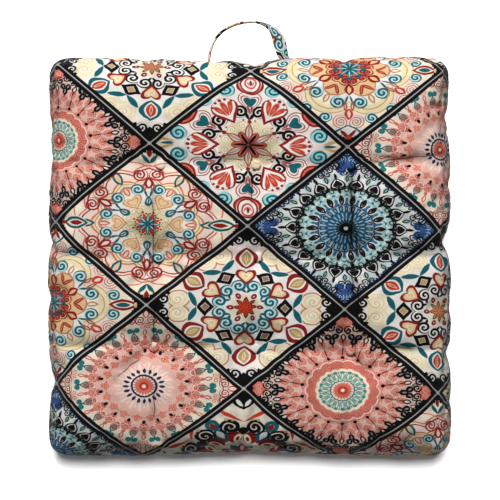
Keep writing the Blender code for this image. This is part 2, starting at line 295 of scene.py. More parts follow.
PETAL_ROSETTE = (
    oval("straw", 6, 0, 23, 7.6, 6.4, apart=5.6),
    oval("cream", 6, 0, 24, 5.0, 4.6, apart=6.4),
    scroll("gold", 6, 0, 24, 6.4, 5.6, 2.8, 0.3),
    leaf("rose", 6, 30, 16, 11.5, 4.2, 0.8),
    leaf("rose", 6, 30, 16, 10, 1.0, 0.35),
    oval("red", 6, 0, 9.4, 8.8, 4.0, taper=0.3),
    oval("coral", 6, 0, 9.2, 7.8, 3.0, taper=0.3),
    oval("black", 6, 0, 8.0, 7.8, 1.6),
    oval("red", 6, 30, 29, 2.3, 2.3),
    oval("brown", 6, 30, 30.5, 1.2, 1.2, apart=6.2),
    scroll("black", 6, 30, 40.5, 9.9, 8.0, 4.5, 1.6),
    leaf("black", 6, 30, 35.5, 5.6, 1.8, apart=2.6, lean=27),
    leaf("rose", 6, 30, 44, 6.6, 1.2, apart=1.6, lean=10),
    leaf("red", 6, 0, 47, 18, 13.0, taper=0.6),
    leaf("white", 6, 0, 49.2, 15.4, 11.2, taper=0.6),
    oval("coral", 6, 0, 50, 9.0, 2.6, taper=0.5),
    oval("coral", 6, 0, 49, 8.4, 2.4, apart=5.4, lean=25, taper=0.5),
    oval("vermilion", 6, 0, 50, 9.0, 2.6, 0.7, taper=0.5),
    oval("vermilion", 6, 0, 49, 8.4, 2.4, 0.7, apart=5.4, lean=25, taper=0.5),
    leaf("red", 6, 30, 57, 14, 13, 0.6),
    heart("teal", 6, 30, 52.5, 7.4),
    heart("rose", 6, 30, 52, 10.6, 0.55),
    oval("red", 6, 0, 61.5, 2.0, 2.0),
    oval("red", 6, 0, 60.5, 1.5, 1.5, apart=5.2),
    oval("red", 6, 0, 56.5, 1.3, 1.3, apart=10.4),
    oval("aqua", 6, 0, 71, 8.8, 8.2, apart=12.4),
    scroll("teal", 6, 0, 71, 12.4, 9.2, 4.9, 1.15),
    oval("red", 6, 30, 75, 12, 15),
    oval("coral", 6, 30, 75, 9.6, 12.4, 1.1),
    oval("white", 2, 90, 79, 13, 12),
    oval("red", 2, 90, 78, 12.6, 11.4, 1.0),
    oval("vermilion", 2, 90, 80, 8.4, 7.0, 0.9),
    leaf("red", 2, 90, 80, 4.6, 1.6),
    leaf("coral", 2, 90, 79, 3.4, 1.0, apart=2.8, lean=24),
    leaf("cream", 2, 0, 86, 10, 6.4),
    leaf("gold", 2, 0, 86, 10, 5.4, 0.7),
    leaf("teal", 2, 0, 82, 7, 1.8),
    leaf("gold", 2, 0, 83, 8, 1.7, 0.5, apart=4.2, lean=14),
)

STAR_ROSETTE = (
    rim("blush", 6, 30, 60, 12, 2),
    rim("straw", 6, 0, 41, 16, 2),
    rim("cream", 6, 0, 37, 14, 2),
    rim("white", 6, 30, 31, 14, 2),
    rim("straw", 6, 30, 22, 6, 2),
    oval("cream", 6, 30, 20.5, 4.4, 4.0, apart=5.0),
    scroll("gold", 6, 30, 20.5, 5.0, 4.8, 3.0, 0.32),
    oval("gold", 6, 0, 17.5, 3.4, 3.2, 0.35),
    leaf("vermilion", 8, 22.5, 9.5, 4.4, 1.8),
    leaf("teal", 8, 0, 6.8, 6.8, 2.0),
    leaf("ice", 8, 0, 6.8, 4.8, 0.7, 0.3),
    leaf("teal", 8, 22.5, 3.5, 3.5, 1.2),
    oval("red", 8, 22.5, 15, 1.2, 1.2),
    oval("red", 8, 22.5, 12.5, 1.1, 1.1, apart=2.8),
    rim("tan", 6, 0, 33, 14, 2, 0.6),
    rim("tan", 12, 0, 44.0, 6, 1.6, 1.1),
    rim("gold", 12, 0, 47.5, 6, 1.6, 0.6),
    rim("coral", 12, 0, 51.5, 6, 1.6, 1.0),
    heart("tan", 6, 0, 28.6, 11.0, tall=0.6),
    heart("sand", 6, 0, 29.0, 9.5, tall=0.6),
    heart("tan", 6, 0, 29.3, 6.4, 0.45, tall=0.6),
    oval("ice", 6, 30, 41.4, 6.4, 6.2, apart=11.0),
    scroll("teal", 6, 30, 41.4, 11.0, 6.8, 3.9, 1.15),
    oval("white", 6, 30, 27.5, 6.4, 4.2),
    oval("teal", 6, 30, 27.5, 6.2, 3.8, 1.0, taper=-0.4),
    leaf("teal", 6, 30, 27.5, 3.4, 1.0),
    oval("teal", 6, 30, 38.0, 6.0, 1.2, apart=3.2, lean=20),
    leaf("blush", 6, 0, 44, 6.6, 3.4),
    leaf("coral", 6, 0, 44, 6.4, 3.2, 0.9),
    leaf("rose", 6, 30, 45, 6.4, 2.0, 0.8, apart=3.8),
    leaf("blush", 6, 30, 51, 8, 4.6),
    leaf("red", 6, 30, 50, 8, 4.6, 1.4, taper=-0.3),
    leaf("cream", 6, 0, 62.5, 10, 5.0),
    leaf("teal", 6, 0, 62.5, 10, 4.8, 1.3),
    leaf("peach", 6, 0, 62, 5.5, 1.6),
    scroll("red", 6, 30, 60, 8.4, 8.2, 3.6, 0.95),
    rim("red", 12, 0, 61, 8, 1.6, 0.9),
    rim("coral", 12, 0, 65, 8, 1.6, 0.9),
    rim("coral", 12, 15, 70, 8, 1.6, 0.7),
    scroll("gold", 4, 45, 68, 8.0, 5.0, 2.4, 0.5),
    leaf("cream", 2, 0, 74, 15, 8.5),
    leaf("teal", 2, 0, 74, 14.5, 7.4, 1.6),
    leaf("red", 2, 0, 73, 8, 2.9),
    leaf("red", 2, 0, 90, 5.8, 2.8),
    oval("teal", 2, 0, 90, 1.6, 1.6, apart=5.4),
    oval("cream", 2, 90, 84, 10, 10),
    heart("gold", 2, 90, 82, 9.5, 0.6),
    leaf("teal", 2, 90, 80, 7.0, 2.3, apart=4.0, lean=36),
    leaf("red", 2, 90, 88, 6.0, 2.6),
    oval("teal", 2, 90, 89, 1.6, 1.6, apart=5.8),
    border("black", 6.2, 2.4, 6.0, 24),
)

CURL_ROSETTE = (
    rim("blush", 6, 30, 60, 12, 2),
    rim("straw", 6, 0, 44, 15, 2),
    rim("cream", 6, 0, 38, 15, 2),
    rim("white", 6, 30, 42, 12, 2),
    rim("tan", 6, 0, 28.0, 13.6, 2),
    rim("peach", 6, 0, 26.8, 13, 2),
    rim("coral", 6, 30, 16, 7, 2),
    scroll("red", 6, 30, 18.5, 5.2, 5.8, 3.4, 1.0),
    scroll("red", 6, 0, 14.5, 3.6, 4.2, 2.8, 0.9),
    leaf("teal", 8, 0, 7.5, 7.5, 1.9),
    leaf("ice", 8, 0, 7.5, 5.2, 0.7, 0.3),
    leaf("teal", 8, 22.5, 5.5, 5.5, 1.3),
    oval("teal", 8, 0, 14.6, 1.9, 1.9, apart=2.0),
    leaf("peach", 6, 30, 28, 8, 5.4),
    leaf("red", 6, 30, 28, 8, 5.2, 1.6, taper=0.3),
    oval("red", 6, 0, 32, 6.6, 2.1, apart=3.4, lean=36),
    oval("coral", 6, 0, 32, 4.8, 0.8, apart=3.4, lean=36),
    oval("ice", 6, 30, 45.5, 7.0, 6.6, apart=11.6),
    scroll("teal", 6, 30, 45.5, 11.6, 7.6, 4.3, 1.3),
    oval("teal", 6, 30, 42.5, 6.4, 1.2, apart=3.2, lean=20),
    leaf("tan", 6, 0, 46.5, 6.6, 3.2, 0.9),
    rim("gold", 6, 0, 44, 15, 2, 0.6),
    rim("straw", 6, 0, 49, 15, 2, 2.2),
    rim("gold", 6, 0, 50, 15, 2, 0.6),
    leaf("rose", 6, 30, 50, 6.8, 2.1, 0.8, apart=3.8),
    leaf("blush", 6, 30, 59, 7, 5),
    leaf("vermilion", 6, 30, 59, 7, 4.8, 1.5),
    scroll("rose", 6, 30, 69, 8, 8.6, 2.9, 0.45),
    oval("ice", 6, 0, 67, 6.0, 5.6, apart=11.4),
    scroll("teal", 6, 0, 67, 11.4, 6.8, 3.9, 1.15),
    leaf("cream", 2, 0, 77, 15, 8),
    leaf("red", 2, 0, 77, 14.5, 7.0, 1.6),
    leaf("teal", 2, 0, 77, 7.6, 3.0),
    oval("peach", 2, 0, 91, 3.6, 3.2),
    leaf("white", 2, 90, 88, 16, 17),
    leaf("teal", 2, 90, 88, 16, 16.5, 1.6),
    oval("red", 2, 90, 84, 6.4, 1.9, apart=3.8, lean=-38),
    leaf("vermilion", 2, 90, 91, 6.4, 3.4),
    border("black", 6.2, 2.4, 6.0, 24),
)

BOLD_ROSETTE = (
    leaf("teal", 6, 0, 12, 12, 4),
    leaf("red", 6, 30, 12, 12, 5, 1.5),
    oval("red", 6, 30, 35, 9.6, 8.4, apart=8.6),
    oval("red", 6, 30, 30, 9.0, 6.4, apart=20.0),
    oval("cream", 6, 30, 33, 7.6, 3.4, 0.8, apart=5.0, lean=-14),
    leaf("white", 6, 0, 48, 13, 9.5, taper=0.3),
    leaf("teal", 6, 0, 43, 12, 7.5, 2.1, taper=0.3),
    oval("teal", 6, 0, 61, 8, 7.4, 2.3),
    leaf("red", 6, 0, 60, 4.8, 2.8),
    scroll("black", 6, 30, 50.5, 13.0, 11.0, 6.0, 2.3),
    leaf("black", 6, 30, 45.5, 6.4, 5.6, taper=0.6),
    leaf("vermilion", 6, 30, 66, 16.0, 2.2, apart=12.6, lean=60, taper=0.5),
    oval("gold", 6, 30, 61, 1.9, 1.9, apart=17.0),
    oval("gold", 6, 30, 60.5, 1.2, 1.2, apart=11.0),
    leaf("black", 4, 0, 84, 10, 12, taper=0.3),
    leaf("white", 4, 0, 83, 6.0, 2.1, apart=4.6, lean=36),
    leaf("black", 4, 0, 97, 8, 9),
)

BLUE_MEDALLION = (
    oval("mist", 18, 0, 49, 5.8, 5.4),
    oval("mist", 18, 10, 45, 5.0, 4.2),
    rim("mist", 18, 0, 39.6, 2, 2),
    rim("ice", 32, 0, 41.4, 1.2, 2, 0.7),
    oval("blue", 18, 10, 40.6, 1.8, 1.8),
    rim("blue", 24, 0, 34.6, 1.6, 2),
    rim("blue", 24, 0, 30.0, 0.8, 2),
    rim("steel", 24, 0, 27.6, 0.8, 2, 0.5),
    leaf("ice", 18, 10, 35.4, 4.4, 3.0, 0.6),
    leaf("blue", 18, 10, 33.6, 3.2, 1.6),
    oval("white", 18, 0, 33.8, 5.2, 4.2),
    leaf("black", 18, 0, 34.4, 6.4, 3.2, 1.1),
    leaf("black", 18, 0, 35.0, 3.4, 1.2),
    rim("navy", 24, 0, 28.8, 0.8, 2, 0.6),
    leaf("ice", 24, 7.5, 24.0, 3.8, 1.1, 0.4),
    leaf("navy", 24, 0, 24.0, 4.4, 2.0, 0.55),
    leaf("mist", 24, 0, 24.0, 2.2, 0.6),
    rim("navy", 24, 7.5, 19.6, 0.8, 2, 0.3),
    leaf("blue", 24, 7.5, 16.8, 4.0, 1.4),
    leaf("ice", 24, 0, 16.4, 3.2, 0.5),
    leaf("navy", 24, 7.5, 16.4, 3.4, 0.7, 0.25),
    rim("aqua", 20, 0, 11.4, 1.2, 2),
    leaf("navy", 20, 9, 9.4, 3.6, 1.4),
    rim("black", 20, 0, 6.2, 1.2, 2),
    rim("white", 20, 0, 2.2, 0, 2),
    oval("black", 18, 10, 46.5, 2.6, 2.8, 0.6),
    leaf("black", 18, 0, 46.5, 5.2, 1.9),
    leaf("black", 18, 0, 48.5, 5.4, 1.7, apart=4.8, lean=64),
    heart("white", 18, 0, 56.0, 8.0, tall=-0.72),
    heart("black", 18, 0, 56.0, 8.4, 0.95, tall=-0.72),
    heart("black", 18, 0, 55.6, 5.0, tall=-0.72),
    leaf("black", 18, 0, 64, 5, 1.7),
    oval("mist", 18, 10, 61, 3.8, 3.4),
    leaf("black", 18, 10, 61, 5.0, 2.0, 0.7),
    scroll("black", 18, 10, 68, 3.8, 4.0, 2.7, 0.85),
    oval("royal", 8, 0, 73, 5.2, 5.0, apart=5.4),
    scroll("navy", 8, 0, 73, 5.4, 5.4, 3.0, 0.9),
    leaf("mist", 8, 22.5, 72, 5.4, 3.4),
    leaf("black", 8, 22.5, 72, 5.6, 3.6, 0.9),
    oval("royal", 4, 0, 88, 13, 12),
    scroll("ice", 4, 0, 85, 4.2, 4.4, 2.3, 0.35),
    scroll("ice", 4, 0, 93, 2.4, 3.0, 2.0, 0.3),
    leaf("navy", 4, 0, 78, 7, 2.4, 0.6, apart=6, lean=-30),
    scroll("black", 4, 0, 76, 11.4, 5.0, 3.0, 0.95),
    scroll("black", 4, 0, 71, 17.5, 4.4, 2.8, 0.9),
    border("navy", 6.2, 3.4, 5.0),
)

CORAL_MEDALLION = (
    lace("black", 90, 150.0, 0.0004),
    border("black", 6.6, 4.0, 7.4),
    oval("pink", 18, 0, 61, 7.2, 6.6),
    oval("coral", 18, 10, 59, 5.6, 3.8),
    rim("pink", 18, 0, 50, 5, 2),
    oval("coral", 18, 0, 55, 6.6, 5.2),
    oval("coral", 18, 10, 47, 6.4, 5.4),
    rim("blush", 18, 0, 53, 6, 1.6, 0.35),
    rim("blush", 18, 10, 47, 6, 1.6, 0.35),
    rim("rose", 18, 0, 49, 6, 1.6, 0.3),
    leaf("rose", 18, 10, 56, 9, 0.9, 0.35),
    rim("coral", 18, 10, 39.2, 3.4, 2),
    rim("blush", 18, 0, 36.0, 2.4, 2),
    rim("vermilion", 18, 0, 34.6, 2.4, 2),
    rim("vermilion", 18, 10, 29.2, 2.6, 2),
    rim("orange", 18, 0, 27.2, 1.6, 2),
    rim("blush", 18, 0, 41, 4, 1.6, 0.3),
    lace("blush", 60, 330.0, 0.00028),
    rim("cream", 20, 0, 26.0, 1.6, 2),
    leaf("jade", 20, 0, 18.6, 6.2, 1.9, 0.5),
    oval("jade", 20, 0, 22.8, 1.7, 2.5),
    leaf("jade", 20, 9, 17.5, 4.6, 0.9, 0.4),
    leaf("vermilion", 20, 9, 22.6, 1.5, 0.7),
    rim("teal", 20, 0, 12.6, 0.7, 2, 0.7),
    rim("blush", 20, 0, 10.4, 0.6, 2),
    leaf("coral", 20, 9, 7.4, 3.4, 1.3),
    rim("vermilion", 20, 0, 5.0, 0.6, 2),
    rim("white", 20, 0, 2.0, 0, 2),
    oval("black", 18, 10, 41.0, 2.0, 1.9),
    leaf("black", 18, 10, 48, 6, 0.6),
    oval("black", 18, 0, 67.4, 3.9, 3.7, apart=3.7),
    oval("black", 18, 0, 61.6, 4.6, 3.4),
    leaf("grey", 18, 0, 67.6, 2.0, 0.8, 0.3, apart=3.5, lean=30),
    leaf("grey", 18, 0, 62, 2.4, 0.8, 0.3),
    leaf("black", 18, 0, 56, 3.4, 0.7),
    leaf("blush", 18, 10, 66.0, 4.4, 2.6),
    leaf("black", 18, 10, 66.0, 4.8, 3.0, 0.9),
    leaf("black", 18, 10, 60.0, 2.6, 0.7),
    oval("black", 18, 10, 73, 3.0, 2.6, 0.6, apart=4.4),
    oval("coral", 4, 0, 84, 7.6, 8.6),
    scroll("pink", 4, 0, 84, 3.4, 3.8, 2.3, 0.45),
    leaf("black", 4, 0, 97, 7, 10),
    scroll("black", 4, 0, 75, 5.0, 5.0, 3.1, 1.0),
    scroll("black", 4, 0, 77, 13.5, 4.8, 3.0, 1.0),
)

PINK_MEDALLION = (
    oval("coral", 18, 0, 57, 6.4, 4.8),
    oval("coral", 18, 10, 51, 6.6, 5.6),
    rim("pink", 18, 0, 46, 4, 2),
    oval("vermilion", 18, 0, 55, 4.6, 3.6),
    oval("vermilion", 18, 10, 48.0, 4.4, 3.8),
    rim("pink", 18, 10, 39.5, 6, 2),
    rim("coral", 18, 0, 38.0, 3.4, 1.6),
    rim("pink", 18, 10, 34.0, 4, 1.6),
    oval("orange", 18, 0, 41.5, 2.6, 2.6),
    rim("blush", 18, 0, 49, 6, 1.6, 0.3),
    rim("blush", 18, 10, 44, 6, 1.6, 0.3),
    lace("blush", 62, 300.0, 0.0003),
    rim("blush", 18, 0, 26, 5, 2),
    leaf("pink", 18, 10, 29, 8, 2.6, 0.4),
    leaf("pink", 18, 0, 25, 7, 2.4, 0.3),
    oval("black", 18, 10, 44.0, 2.5, 1.8),
    leaf("navy", 20, 0, 18.2, 3.4, 1.7),
    oval("navy", 20, 0, 18.8, 2.4, 1.3),
    rim("navy", 20, 0, 13.6, 0.4, 2),
    rim("blush", 20, 0, 11.0, 0.6, 2),
    leaf("coral", 20, 9, 7.6, 3.6, 1.3),
    rim("vermilion", 20, 0, 4.8, 0.6, 2),
    rim("white", 20, 0, 2.1, 0, 2),
    oval("cream", 18, 0, 60.4, 4.6, 2.6),
    leaf("teal", 18, 0, 60.4, 5.8, 3.4, 0.7, taper=-0.3),
    leaf("brown", 18, 0, 59.4, 3.8, 2.0),
    oval("jade", 18, 0, 69.0, 3.3, 3.1, apart=3.2),
    scroll("teal", 18, 0, 69.0, 3.2, 3.3, 2.1, 0.6),
    leaf("teal", 18, 0, 66.0, 2.8, 0.9),
    leaf("vermilion", 18, 10, 65.5, 4.8, 2.2, 0.6),
    oval("coral", 18, 10, 59.5, 2.4, 2.0),
    scroll("vermilion", 18, 10, 73, 3.2, 3.2, 2.0, 0.4),
    rim("rose", 18, 0, 77, 3, 1.5, 0.5),
    scroll("red", 4, 0, 81, 5.6, 5.8, 2.8, 0.6),
    leaf("vermilion", 4, 0, 89, 5.4, 3.8, 0.8),
    scroll("red", 4, 0, 79, 14.5, 4.6, 2.6, 0.6),
)

Diamond = namedtuple("Diamond", "name ground wash washed motifs")
DIAMONDS = {
    (0, 0): Diamond("blue_medallion", "white", "steel", 0.7, BLUE_MEDALLION),
    (0, 1): Diamond("black_scroll_rosette", "white", "cream", 0.7, heart_rosette(
        "tan", "black", "white", "teal", "teal", "vermilion", "gold", "straw")),
    (0, 2): Diamond("petal_rosette", "white", "blush", 0.7, PETAL_ROSETTE),
    (1, 0): Diamond("pink_medallion", "cream", "blush", 0.8, PINK_MEDALLION),
    (1, 1): Diamond("bold_rosette", "cream", "grey", 0.6, BOLD_ROSETTE),
    (1, 2): Diamond("curl_rosette", "cream", "blush", 0.6, CURL_ROSETTE),
    (2, 0): Diamond("teal_scroll_rosette", "white", "blush", 0.6, heart_rosette(
        "vermilion", "teal", "ice", "teal", "red", "gold", "brown", "tan")),
    (2, 1): Diamond("coral_medallion", "blush", "rose", 0.35, CORAL_MEDALLION),
    (2, 2): Diamond("star_rosette", "cream", "blush", 0.4, STAR_ROSETTE),
}


def linear(code):
    """The linear colour of a hex code."""
    values = [int(code[start:start + 2], 16) / 255 for start in (0, 2, 4)]
    return [value / 12.92 if value <= 0.04045 else ((value + 0.055) / 1.055) ** 2.4
            for value in values]


def ink_property(name, code):
    description = "Colour of the print's %s ink" % name
    return FloatVectorProperty(name=name.capitalize(), description=description, subtype="COLOR",
                               min=0, max=1, default=linear(code))


class PrintInks(bpy.types.PropertyGroup):
    """Inks of the printed cloth"""

    __annotations__ = {name: ink_property(name, code) for name, code in INKS.items()}


class CushionSizes(bpy.types.PropertyGroup):
    """Sizes that a maker may change"""

    face_cells: IntProperty(name="Face cells", description="Cells across the cover's face",
                            default=96, min=24, max=101)
    wall_cells: IntProperty(name="Wall cells", description="Cells up the cover's wall",
                            default=12, min=4, max=24)
    half_width: FloatProperty(name="Half diamond across", description="Half of a diamond's width",
                              default=0.1517, unit="LENGTH")
    half_height: FloatProperty(name="Half diamond up", description="Half of a diamond's height",
                               default=0.1244, unit="LENGTH")
    filling_frames: IntProperty(name="Filling frames", description="Steps in which the cover is filled",
                                default=20, min=2, max=60)
    filling_reach: FloatProperty(name="Filling reach", description="How far the filling may move the cloth",
                                 default=0.006, unit="LENGTH")
    strap_width: FloatProperty(name="Strap width", description="Width of the hand loop's strap",
                               default=0.025, unit="LENGTH")
    strap_thickness: FloatProperty(name="Strap thickness", description="Thickness of the folded strap",
                                   default=0.0044, unit="LENGTH")


# Node trees

def math_method(operation):
    def add_node(self, *others):
        return self.wiring.math(operation, self, *others)
    return add_node


class Value:
    """A node's output; arithmetic with it adds the nodes that work it out"""

    def __init__(self, wiring, socket):
        self.wiring = wiring
        self.socket = socket

    def __rsub__(self, other):
        return self.wiring.math("SUBTRACT", other, self)

    def clamped(self):
        return self.at_least(0.0).at_most(1.0)

    __add__ = math_method("ADD")
    __sub__ = math_method("SUBTRACT")
    __mul__ = math_method("MULTIPLY")
    __truediv__ = math_method("DIVIDE")
    __pow__ = math_method("POWER")
    __abs__ = math_method("ABSOLUTE")
    times_plus = math_method("MULTIPLY_ADD")
    at_least = math_method("MAXIMUM")
    at_most = math_method("MINIMUM")
    wrap = math_method("WRAP")
    sine = math_method("SINE")
    cosine = math_method("COSINE")
    root = math_method("SQRT")
    angle_from = math_method("ARCTAN2")


class Wiring:
    """Adds nodes to a tree in the order in which they are worked out"""

    def __init__(self, tree):
        self.tree = tree

    def feed(self, socket, value):
        if isinstance(value, Value):
            self.tree.links.new(value.socket, socket)
        else:
            socket.default_value = value

    def values(self, sockets):
        """Sockets as values, by their number and by their name."""
        values = [Value(self, socket) for socket in sockets]
        return {**dict(enumerate(values)), **{value.socket.name: value for value in values}}

    def node(self, kind, inputs, **settings):
        node = self.tree.nodes.new(kind)
        for name, value in settings.items():
            setattr(node, name, value)
        for key, value in inputs.items():
            self.feed(node.inputs[key], value)
        return self.values(node.outputs)

    def math(self, operation, *values):
        return self.node("ShaderNodeMath", dict(enumerate(values)), operation=operation)[0]

    def vector(self, operation, *values):
        made = self.node("ShaderNodeVectorMath", dict(enumerate(values)), operation=operation)
        return made["Value" if operation in ("LENGTH", "DOT_PRODUCT") else "Vector"]

    def scaled(self, vector, scale):
        return self.node("ShaderNodeVectorMath", {0: vector, "Scale": scale}, operation="SCALE")[0]

    def split(self, vector):
        return self.node("ShaderNodeSeparateXYZ", {0: vector})

    def noise(self, place, scale, detail):
        inputs = {"Vector": place, "Scale": scale, "Detail": detail}
        return self.node("ShaderNodeTexNoise", inputs, noise_dimensions="2D")

    def wobbled(self, place, cloth, scale, reach):
        """A place moved a little aside, by noise that lies on the cloth."""
        shift = self.vector("MULTIPLY_ADD", self.noise(cloth, scale, 1.0)["Color"],
                            (2 * reach, 2 * reach, 0.0), (-reach, -reach, 0.0))
        return self.vector("ADD", place, shift)

    def group(self, name, inputs):
        return self.node("ShaderNodeGroup", inputs, node_tree=bpy.data.node_groups[name])

    def mix(self, factor, first, second):
        return self.node("ShaderNodeMix", {"Factor": factor, 6: first, 7: second}, data_type="RGBA")[2]


def new_group(name, inputs, outputs=("Mask",)):
    """An empty node group with its sockets; returns its wiring, what comes in and what goes out."""
    tree = bpy.data.node_groups.new(name, "ShaderNodeTree")
    for label, value in inputs.items():
        kind = "NodeSocketVector" if value is None else "NodeSocketFloat"
        socket = tree.interface.new_socket(label, in_out="INPUT", socket_type=kind)
        if value is not None:
            socket.default_value = value
    for label in outputs:
        tree.interface.new_socket(label, in_out="OUTPUT", socket_type="NodeSocketFloat")
    wiring = Wiring(tree)
    given = wiring.values(tree.nodes.new("NodeGroupInput").outputs)
    return wiring, given, tree.nodes.new("NodeGroupOutput").inputs


def cut(distance, sharpness=SHARPNESS):
    """1 inside a line or shape and 0 outside it."""
    return distance.times_plus(-sharpness, 0.5).clamped()


def drawn(distance, line):
    """The distance to a shape, or to the line along the inside of its edge."""
    return abs(distance + line) - line


def build_diamond_place(sizes):
    """Where a place on the cloth lies within its diamond."""
    w, given, put = new_group("diamond_place", {"Cloth": None}, ("Radius", "Angle", "Side", "Crossing"))
    moved = w.vector("SUBTRACT", given["Cloth"], (*DIAMOND_ORIGIN, 0))
    turned = w.node("ShaderNodeVectorRotate", {"Vector": moved, "Angle": DIAMOND_TURN},
                    rotation_type="Z_AXIS")[0]
    shares = w.split(w.vector("DIVIDE", turned, (sizes.half_width, sizes.half_height, 1)))
    rising = (shares[0] + shares[1]).wrap(1.0, -1.0)
    falling = (shares[0] - shares[1]).wrap(1.0, -1.0)
    from_rising = abs(rising).times_plus(-DIAMOND_SIDE, DIAMOND_SIDE)
    from_falling = abs(falling).times_plus(-DIAMOND_SIDE, DIAMOND_SIDE)
    w.feed(put["Side"], from_rising.at_most(from_falling))
    w.feed(put["Crossing"], from_rising.at_least(from_falling))
    across = (rising + falling) * (UNIT / 2)
    up = (rising - falling) * (UNIT / 2)
    place = w.node("ShaderNodeCombineXYZ", {0: across, 1: up})[0]
    place = w.wobbled(place, given["Cloth"], 85.0, 0.7)
    final = w.split(place)
    w.feed(put["Radius"], w.vector("LENGTH", place))
    w.feed(put["Angle"], final[1].angle_from(final[0]))


def slice_angle(given):
    turned = given["Angle"] - given["Turn"]
    return turned.wrap(given["Slice"], given["Slice"] * -1.0)


def folded(given):
    """Along and across one slice of a rosette, measured from the slice's own middle line."""
    angle = slice_angle(given)
    return given["Radius"] * angle.cosine() - given["Out"], abs(given["Radius"] * angle.sine())


def leaned(given):
    """The same, from the middle of one of a mirrored pair and turned with it."""
    along, across = folded(given)
    aside = across - given["Apart"]
    cosine = given["Lean"].cosine()
    sine = given["Lean"].sine()
    return along.times_plus(cosine, aside * sine), aside * cosine - along * sine


def leaf_distance(given, power=2.0):
    """Pointed leaves."""
    along, across = leaned(given)
    share = along / given["Long"]
    narrowing = share.times_plus(given["Taper"], 1.0).at_least(0.3)
    curve = 1.0 - abs(share) ** power
    return abs(across) - curve * given["Wide"] * narrowing


def lozenge_distance(given):
    """Lozenges: leaves with hollow sides."""
    return leaf_distance(given, 0.88)


def oval_distance(given):
    """Dots, ovals and drops."""
    along, across = leaned(given)
    share = along / given["Long"]
    narrowing = share.times_plus(given["Taper"], 1.0).at_least(0.2)
    sideways = across / given["Wide"] / narrowing
    ring = share.times_plus(share, sideways * sideways).root()
    return (ring - 1.0) * given["Wide"]


def heart_distance(given):
    """Hearts; Long is below 0 where they point outwards."""
    along, across = folded(given)
    aside = across / given["Wide"]
    risen = along / given["Long"] - aside ** (2 / 3) * 0.9
    ring = aside.times_plus(aside, risen * risen).root()
    return (ring - 1.0) * (given["Wide"] * 0.8)


def rim_distance(given):
    """A ring or a disc with a scalloped edge; Long is the scallops' depth, Wide their power."""
    share = (abs(slice_angle(given)) / given["Slice"]) ** given["Wide"]
    return given["Radius"] - given["Out"] - (1.0 - share) * given["Long"]


def build_shape(name, distance):
    """The mask of one form of motif, repeated around a rosette."""
    w, given, put = new_group(name, SHAPE)
    w.feed(put["Mask"], cut(drawn(distance(given), given["Line"])))


def build_scroll():
    """Mirrored pairs of spiral scrolls; Long is their radius and Wide their pitch."""
    w, given, put = new_group("scroll", SHAPE)
    along, across = folded(given)
    aside = across - given["Apart"]
    radius = along.times_plus(along, aside * aside).root()
    shift = aside.angle_from(along) * (given["Wide"] * (0.5 / math.pi))
    arm = (radius - shift).wrap(given["Wide"], 0.0)
    from_arm = abs(arm - given["Wide"] * 0.5)
    w.feed(put["Mask"], cut(from_arm - given["Line"]) * cut(radius - given["Long"]))


def build_border():
    """A margin of round bumps along a diamond's sides, which ends at a reach from its corners."""
    w, given, put = new_group("border", {"Side": 0.0, "Crossing": 0.0, "Width": 1.0, "Bump": 1.0,
                                         "Pitch": 1.0, "Reach": 1.0})
    phase = given["Crossing"] * math.pi / given["Pitch"]
    bump = abs(phase.sine()) * given["Bump"]
    kept = ((given["Reach"] - given["Crossing"]) * 0.25).clamped()
    width = (given["Width"] + bump) * kept
    w.feed(put["Mask"], cut(given["Side"] - width, 1.5))


def build_lace():
    """Fine uneven mesh lines inside a disc, as in a drawn lace filling."""
    w, given, put = new_group("lace", {"Cloth": None, "Radius": 0.0, "Out": 1.0, "Scale": 100.0,
                                       "Line": 0.001})
    cells = w.node("ShaderNodeTexVoronoi", {"Vector": given["Cloth"], "Scale": given["Scale"]},
                   voronoi_dimensions="2D", feature="DISTANCE_TO_EDGE")
    line = cut(cells["Distance"] / given["Scale"] - given["Line"], 2500.0)
    disc = cut(given["Radius"] - given["Out"], 0.4)
    w.feed(put["Mask"], line * disc * 0.6)


def build_wash():
    """How strongly the second ground ink shows, as in a watercolour wash."""
    w, given, put = new_group("wash", {"Cloth": None, "Amount": 0.5})
    patches = w.noise(given["Cloth"], 55.0, 3.0)["Fac"].times_plus(3.0, -1.0).clamped()
    w.feed(put["Mask"], patches * given["Amount"])


def build_band():
    """The black band between diamonds, and the pale line along its middle."""
    w, given, put = new_group("band", {"Side": 0.0, "Crossing": 0.0}, ("Band", "Line"))
    w.feed(put["Band"], cut(given["Side"] - BAND_HALF, BAND_SHARPNESS))
    line = cut(given["Side"] - BAND_LINE, BAND_SHARPNESS)
    knot = cut(given["Crossing"] - CROSSING, BAND_SHARPNESS)
    w.feed(put["Line"], line.at_least(knot))


def build_creases():
    """The sharp tucks of the face: a mask of painted shade, 1 in the bottom of each tuck, and their own
    height.
    """
    w, given, put = new_group("creases", {"Cloth": None}, ("Mask", "Height"))
    place = w.wobbled(given["Cloth"], given["Cloth"], 45.0, 0.003)
    deepest = None
    for crease in CREASES:
        start = Vector((crease.x1, crease.y1, 0))
        line = Vector((crease.x2, crease.y2, 0)) - start
        offset = w.vector("SUBTRACT", place, tuple(start))
        share = w.vector("DOT_PRODUCT", offset, tuple(line / line.length_squared)).clamped()
        distance = w.vector("LENGTH", w.vector("SUBTRACT", offset, w.scaled(tuple(line), share)))
        fade = ((1.0 - abs(share.times_plus(2.0, -1.0))) * 4.0).clamped()
        here = distance.times_plus(-1 / crease.width, 1.0).clamped() * fade
        deepest = deepest.at_least(here) if deepest else here
    # The mask paints shade into the bottom of each tuck
    w.feed(put["Mask"], deepest)
    w.feed(put["Height"], deepest * -TUCK_DEPTH)


